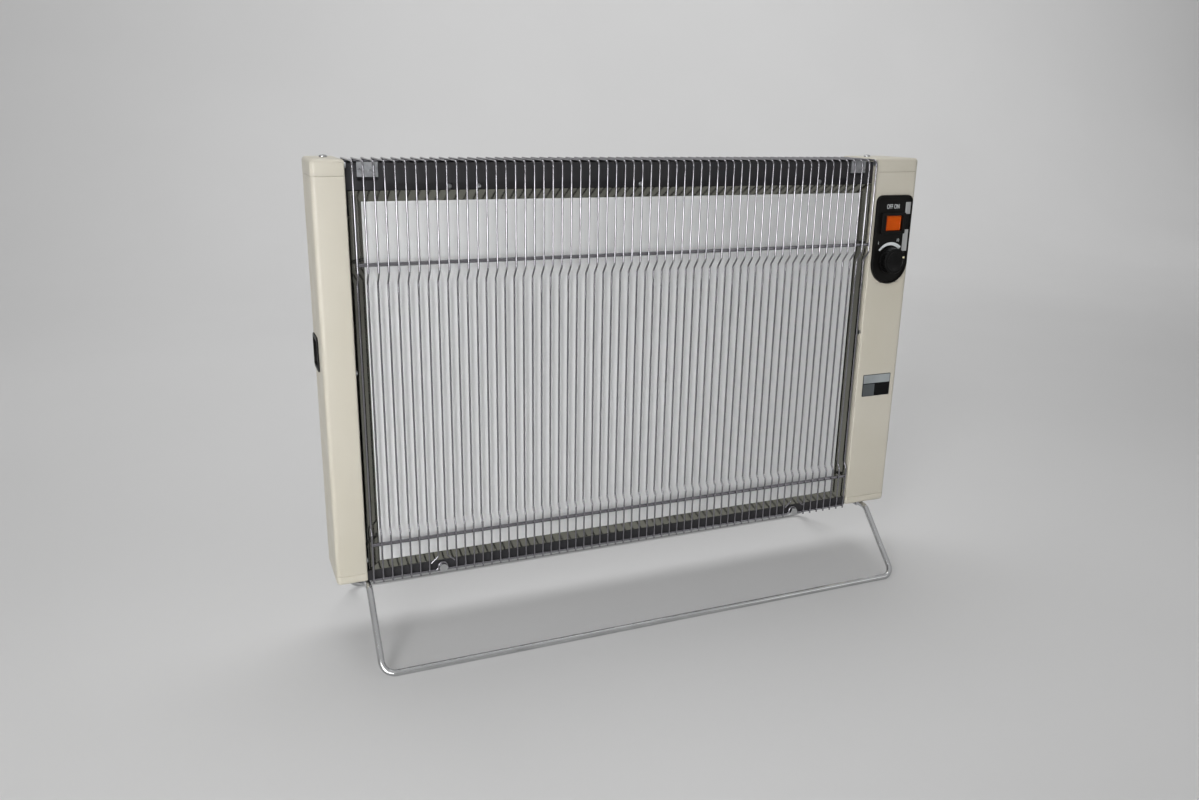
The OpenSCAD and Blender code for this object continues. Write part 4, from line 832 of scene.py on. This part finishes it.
knob_depth = (knob_box[1].y - KNOB_FRONT) / MM
dished_face = [(0, 0.8), (10.9, 0.8), (11.4, 0.5), (11.8, 0.1), (12.3, 0)]
grip = [(14.2, 0), (14.9, 0.25), (15.3, 0.8), (15.35, 1.6), (15.45, knob_depth - 3.4)]
skirt = [(15.6, knob_depth - 2.7), (KNOB_R, knob_depth - 2.5), (KNOB_R, knob_depth - 0.3),
         (15.7, knob_depth), (0, knob_depth)]
bm = spun(dished_face + grip + skirt, Vector((CTRL_X, KNOB_FRONT, KNOB_Z)), BACKWARD, SIDEWAYS, 192)
for v in bm.verts:
    out = Vector((v.co.x - CTRL_X, 0, v.co.z - KNOB_Z))
    depth = (v.co.y - KNOB_FRONT) / MM
    if out.length > FLUTED_FROM_R * MM and FLUTE_START < depth < knob_depth - FLUTE_STOP:
        wave = 0.5 + 0.5 * cos(FLUTES * atan2(out.z, out.x))
        v.co -= out.normalized() * FLUTE_DEPTH * MM * wave
add(bm, "knob_turned", "knob_plastic", ["power_knob"], "power_knob")

pointer_low, pointer_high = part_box("knob_pointer")
pointer_at = (pointer_low + pointer_high) / 2
dot_r = (pointer_high.x - pointer_low.x) / 2 / MM
domed = [(0, 0), (dot_r * 0.5, 0.04), (dot_r * 0.85, 0.18), (dot_r, 0.45), (dot_r, 1.0), (0, 1.0)]
dot = spun(domed, Vector((pointer_at.x, pointer_low.y, pointer_at.z)), BACKWARD, SIDEWAYS, 40)
add(dot, "pointer_dot", "cream_dot", ["knob_pointer"], "power_knob")

# %% [markdown]
# ## Hand recesses
#
# A black cup is set in each side, to lift the heater by. Its flange stands a little proud. The cup
# starts as the flange: the back face is inset and pushed into the column, and the front face is
# inset and pushed in after it, which leaves a wall between the two.

# %% Handle cups
CUP_LIP, CUP_WALL = 2.5, 1.5
CUP_CORNER, CUP_SOFT = 5.8, 0.5


def push(bm, faces, vec):
    """Moves the faces by vec and puts walls between their old place and the new one."""
    grown = bmesh.ops.extrude_face_region(bm, geom=faces)["geom"]
    bmesh.ops.translate(bm, vec=vec, verts=points_of(grown))
    bmesh.ops.delete(bm, geom=[f for f in faces if f.is_valid], context="FACES")


def handle_cup(name, side):
    low, high = (c.copy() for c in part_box(name))
    face = CORNER.x if side < 0 else CORNER.x + BODY_RIGHT * MM
    proud, bottom = outer_inner(low, high, side)
    bm = block((min(face, proud), low.y, low.z), (max(face, proud), high.y, high.z))
    round_edges(bm, lambda a, b: same(a.y, b.y) and same(a.z, b.z), CUP_CORNER, 6)
    round_edges(bm, on_plane(0, proud), CUP_SOFT, 3)
    bm.normal_update()
    back = [f for f in bm.faces if f.normal.x * side < -0.99]
    bmesh.ops.inset_region(bm, faces=back, thickness=CUP_LIP * MM, use_even_offset=True)
    push(bm, back, (bottom - face, 0, 0))
    bm.normal_update()
    mouth = [f for f in bm.faces if f.normal.x * side > 0.99]
    bmesh.ops.inset_region(bm, faces=mouth, thickness=(CUP_LIP + CUP_WALL - CUP_SOFT) * MM,
                           use_even_offset=True)
    push(bm, mouth, (bottom + side * CUP_WALL * MM - proud, 0, 0))
    add(bm, name + "_moulding", "black_plastic", [name])


handle_cup("left_handle_cup", -1)
handle_cup("right_handle_cup", 1)

# %% [markdown]
# ## Screws
#
# Chromed pan-head screws with a cross in them hold the top caps from above and the bottom caps
# from below. Small plated ones show in the gap over the panel, where they hold its upper rail. The
# cross is marked on the head's flat top by cuts and pushed down.


# %% Cross-head screws
def screw_head(radius, height):
    """A cross-slotted head that stands on z = 0. Both sizes are in millimetres."""
    profile = [(0, height), (radius * 0.62, height), (radius * 0.85, height * 0.86),
               (radius * 0.97, height * 0.6), (radius, height * 0.3), (radius * 0.98, 0), (0, 0)]
    bm = spun(profile, Vector((0, 0, 0)), Vector((0, 0, 1)), SIDEWAYS, 32)
    arm, slot = radius * 0.55 * MM, radius * 0.13 * MM
    for half in (arm, slot):
        for axis in (0, 1):
            cut(bm, axis, -half)
            cut(bm, axis, half)
    bm.normal_update()
    middle = [(f, f.calc_center_median()) for f in bm.faces if f.normal.z > 0.99]
    marked = [f for f, c in middle if min(abs(c.x), abs(c.y)) < slot
              and max(abs(c.x), abs(c.y)) < arm]
    push(bm, marked, (0, 0, -height * 0.55 * MM))
    return bm


def set_screws(name, slot, places, axis, radius, height, stands_for=()):
    """One piece with a head at each place, standing along axis."""
    all_heads = bmesh.new()
    turn = Vector((0, 0, 1)).rotation_difference(Vector(axis)).to_matrix().to_4x4()
    for place in places:
        head = screw_head(radius, height)
        bmesh.ops.transform(head, matrix=Matrix.Translation(place) @ turn, verts=head.verts)
        merge(all_heads, head)
    add(all_heads, name, slot, stands_for)


CAP_SCREW_Y, FROM_LEFT, FROM_RIGHT = 35, 17, 50
CAP_HEAD_R, CAP_HEAD_H, BASE_HEAD_H = 4.0, 2.4, 2.0
RAIL_HEAD_R, RAIL_HEAD_H, RAIL_SCREW_X, ABOVE_GAP = 2.6, 1.4, (135, 165, 345, 574), 2.5
cap_y = CORNER.y + CAP_SCREW_Y * MM
cap_screw_x = [CORNER.x + FROM_LEFT * MM, CORNER.x + (BODY_RIGHT - FROM_RIGHT) * MM]
cap_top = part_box("left_top_cap")[1].z
set_screws("cap_screw_heads", "chrome_rod", [Vector((x, cap_y, cap_top)) for x in cap_screw_x],
           (0, 0, 1), CAP_HEAD_R, CAP_HEAD_H, ["cap_screws"])
cap_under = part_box("left_bottom_cap")[0].z
set_screws("base_screw_heads", "chrome_rod", [Vector((x, cap_y, cap_under)) for x in cap_screw_x],
           (0, 0, -1), CAP_HEAD_R, BASE_HEAD_H)
rail_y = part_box("panel_rail_top")[0].y
gap_z = (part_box("reflector_top")[1].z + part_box("front_plate")[0].z) / 2 + ABOVE_GAP * MM
set_screws("rail_screw_heads", "plated_steel",
           [Vector((at(x, 0, 0).x, rail_y, gap_z)) for x in RAIL_SCREW_X],
           (0, -1, 0), RAIL_HEAD_R, RAIL_HEAD_H)

# %% [markdown]
# ## Badge plate
#
# A small plate sits low on the wide column, with a silver band above and a slate and a black
# field below. They are three faces of one block, inset a little and given finishes of their own
# by their material index.

# %% Plain plate in three fields
low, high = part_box("badge_plate")
BAND_SHARE, SPLIT_SHARE = 0.42, 0.45
EDGE_W, SUNK, PLATE_R = 0.7, 0.12, 0.6
band_z = high.z - (high.z - low.z) * BAND_SHARE
split_x = low.x + (high.x - low.x) * SPLIT_SHARE
bm = block(low, high)
cut(bm, 2, band_z)
under = next(f for f in front_faces(bm) if f.calc_center_median().z < band_z)
bmesh.ops.bisect_plane(bm, geom=under.verts[:] + under.edges[:] + [under],
                       plane_co=(split_x, 0, 0), plane_no=(1, 0, 0))
fields = front_faces(bm)
bmesh.ops.inset_individual(bm, faces=fields, thickness=EDGE_W * MM, depth=-SUNK * MM)
for field in fields:
    centre = field.calc_center_median()
    field.material_index = 1 if centre.z > band_z else 2 if centre.x < split_x else 0
round_edges(bm, deep, PLATE_R, 3)
plate = add(bm, "badge_fields", "badge_face", ["badge_plate"])
plate.data.materials.append(badge_grey)
plate.data.materials.append(badge_slate)
print("fields on the plate:", len(fields))

# %% [markdown]
# ## Numbers and words
#
# The dial has a plain number at each end of its crescent, and the switch is marked OFF and ON.
# Text is made with a text curve, turned into a mesh and only then narrowed and put in place, so
# that the object stays at the origin.


# %% Printed marks
INK = 0.04


def print_mark(name, words, height_mm, narrow, x, z):
    curve = bpy.data.curves.new(name, "FONT")
    curve.body = words
    curve.size = height_mm * MM
    curve.extrude = INK * MM
    curve.align_x = "CENTER"
    curve.align_y = "CENTER"
    curve.resolution_u = 4
    spare = bpy.data.objects.new(name + "_curve", curve)
    scene.collection.objects.link(spare)
    bpy.context.view_layer.update()
    mesh = bpy.data.meshes.new_from_object(spare.evaluated_get(
        bpy.context.evaluated_depsgraph_get()))
    bpy.data.objects.remove(spare)
    mesh.transform(Matrix.Translation((x, FACE_Y - INK * MM, z)) @ Matrix.Rotation(pi / 2, 4, "X")
                   @ Matrix.Diagonal((narrow, 1, 1, 1)))
    mesh.materials.clear()
    mesh.materials.append(FINISH["white_print"])
    piece = bpy.data.objects.new(name, mesh)
    scene.collection.objects.link(piece)
    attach(piece, "heater")
    print(name, "mesh faces:", len(mesh.polygons))


print_mark("mark_switch", "OFF ON", 7.6, 0.68, CTRL_X - 2 * MM, BUTTON_Z + 19.5 * MM)
print_mark("mark_low", "1", 5.2, 0.8, CTRL_X - 18.5 * MM, KNOB_Z + 21 * MM)
print_mark("mark_high", "10", 5.2, 0.8, CTRL_X + 9.5 * MM, KNOB_Z + 23.5 * MM)

# %% [markdown]
# ## Camera
#
# The photograph was taken from the left and from above. The camera's place and turn were worked
# out from points on the heater's body, so the view matches it. The lens follows from the same
# sums: 964 pixels of focal length on a picture 1199 pixels wide.

# %% Camera at the photograph's angle
PHOTO_W, FOCAL_PX, SENSOR = 1199, 964, 36
camera = bpy.data.objects.new("camera", bpy.data.cameras.new("camera"))
camera.data.sensor_width = SENSOR
camera.data.lens = FOCAL_PX / PHOTO_W * SENSOR
camera.data.clip_end = 50
camera.location = (-0.4531, -0.9857, 0.5578)
camera.rotation_euler = (radians(73.445), radians(-0.956), radians(-22.353))
scene.collection.objects.link(camera)
scene.camera = camera
print("lens:", round(camera.data.lens, 2), "mm")

# %% [markdown]
# ## Studio
#
# A pale floor sweeps up into a pale wall behind the heater. The light comes from the front left, as
# in the photograph: a tall lamp stands there, and a long one close to the floor. The upper wires
# mirror the low lamp, which gives them bright cores, while the wires further down mirror the floor
# and stay dark. Weak lamps fill in from the right and above. The world only shows its pale level
# where it is seen or mirrored, which Light Path tells, and lights the heater with a darker one.

# %% Floor and backdrop
def shown_only(owner, socket, strength):
    """Gives the socket a strength on the rays that show a surface, and none on those that light."""
    nodes, links = owner.node_tree.nodes, owner.node_tree.links
    rays = nodes.new("ShaderNodeLightPath")
    seen = rays.outputs["Is Camera Ray"]
    for kind in ("Is Glossy Ray", "Is Transmission Ray"):
        either = nodes.new("ShaderNodeMath")
        either.operation = "MAXIMUM"
        links.new(seen, either.inputs[0])
        links.new(rays.outputs[kind], either.inputs[1])
        seen = either.outputs[0]
    level = nodes.new("ShaderNodeMath")
    level.operation = "MULTIPLY"
    level.inputs[1].default_value = strength
    links.new(seen, level.inputs[0])
    links.new(level.outputs[0], socket)


HALF_WIDTH, HALF_DEPTH, WALL_Y, WALL_HEIGHT, SWEEP_R = 7, 4.5, 3.2, 5, 1400
PAPER, PAPER_SHADE, PAPER_SHOWN = (0.6, 0.6, 0.6), (0.58, 0.58, 0.58), 0.1
sweep = bmesh.new()
bmesh.ops.create_grid(sweep, x_segments=1, y_segments=1, size=1)
bmesh.ops.scale(sweep, vec=(HALF_WIDTH, HALF_DEPTH, 1), verts=sweep.verts)
bmesh.ops.translate(sweep, vec=(0, WALL_Y - HALF_DEPTH, 0), verts=sweep.verts)
back_edge = max(sweep.edges, key=lambda e: e.verts[0].co.y + e.verts[1].co.y)
wall = bmesh.ops.extrude_edge_only(sweep, edges=[back_edge])["geom"]
bmesh.ops.translate(sweep, vec=(0, 0, WALL_HEIGHT), verts=points_of(wall))
on_floor, at_wall = on_plane(2, 0), on_plane(1, WALL_Y)
round_edges(sweep, lambda a, b: on_floor(a, b) and at_wall(a, b), SWEEP_R, 24)
mesh = bpy.data.meshes.new("floor")
sweep.to_mesh(mesh)
sweep.free()
mesh.shade_smooth()
floor = bpy.data.objects.new("floor", mesh)
scene.collection.objects.link(floor)
paper = new_finish("pale paper", PAPER, 0.75, Emission_Color=(1, 1, 1, 1))
mottle(paper, noise(paper, 1.2, 3), PAPER, PAPER_SHADE)
paper_shader = paper.node_tree.nodes["Principled BSDF"]
shown_only(paper, paper_shader.inputs["Emission Strength"], PAPER_SHOWN)
mesh.materials.append(paper)
print("floor:", len(mesh.polygons), "faces")


# %% Lamps
def soft_lamp(name, place, aim, size, watts, spread_deg):
    lamp = bpy.data.objects.new(name, bpy.data.lights.new(name, "AREA"))
    lamp.data.shape = "RECTANGLE"
    lamp.data.size, lamp.data.size_y = size
    lamp.data.energy = watts
    lamp.data.spread = radians(spread_deg)
    lamp.location = place
    lamp.rotation_euler = (Vector(aim) - Vector(place)).to_track_quat("-Z", "Y").to_euler()
    scene.collection.objects.link(lamp)


soft_lamp("key", (-1.25, -1.4, 1.0), (-0.1, 0, 0.3), (0.5, 1.15), 3.5, 75)
soft_lamp("low", (-1.15, -1.85, 0.22), (0.05, 0, 0.3), (1.5, 0.28), 4.4, 95)
soft_lamp("broad", (-0.8, -2.1, 1.35), (0.0, 0, 0.3), (1.6, 0.8), 0.6, 75)
soft_lamp("fill", (1.9, -2.2, 1.3), (0.15, 0, 0.3), (1.0, 1.0), 0.4, 75)
soft_lamp("top", (0.1, 0.7, 2.2), (0, 0.2, 0.1), (2.0, 1.0), 12, 140)
soft_lamp("backdrop", (1.8, 0.9, 3.4), (1.8, 3.2, 1.4), (6.0, 0.6), 55, 120)

# %% World
WORLD_LOW, WORLD_HIGH, WORLD_STRENGTH, WORLD_SHOWN = 0.05, 0.5, 0.5, 0.36
world = bpy.data.worlds.new("studio")
world.use_nodes = True
scene.world = world
nodes, links = world.node_tree.nodes, world.node_tree.links
around_us = nodes.new("ShaderNodeTexCoord")
split = nodes.new("ShaderNodeSeparateXYZ")
height = nodes.new("ShaderNodeMapRange")
height.inputs["From Min"].default_value = 0.0
height.inputs["From Max"].default_value = 0.9
height.inputs["To Min"].default_value = WORLD_LOW
height.inputs["To Max"].default_value = WORLD_HIGH
links.new(around_us.outputs["Generated"], split.inputs["Vector"])
links.new(split.outputs["Z"], height.inputs["Value"])
links.new(height.outputs["Result"], nodes["Background"].inputs["Color"])
nodes["Background"].inputs["Strength"].default_value = WORLD_STRENGTH
pale = nodes.new("ShaderNodeBackground")
pale.inputs["Color"].default_value = (1, 1, 1, 1)
shown_only(world, pale.inputs["Strength"], WORLD_SHOWN)
both = nodes.new("ShaderNodeAddShader")
links.new(nodes["Background"].outputs[0], both.inputs[0])
links.new(pale.outputs[0], both.inputs[1])
links.new(both.outputs[0], nodes["World Output"].inputs["Surface"])
scene.view_settings.view_transform = "Standard"
print("world nodes:", len(nodes))
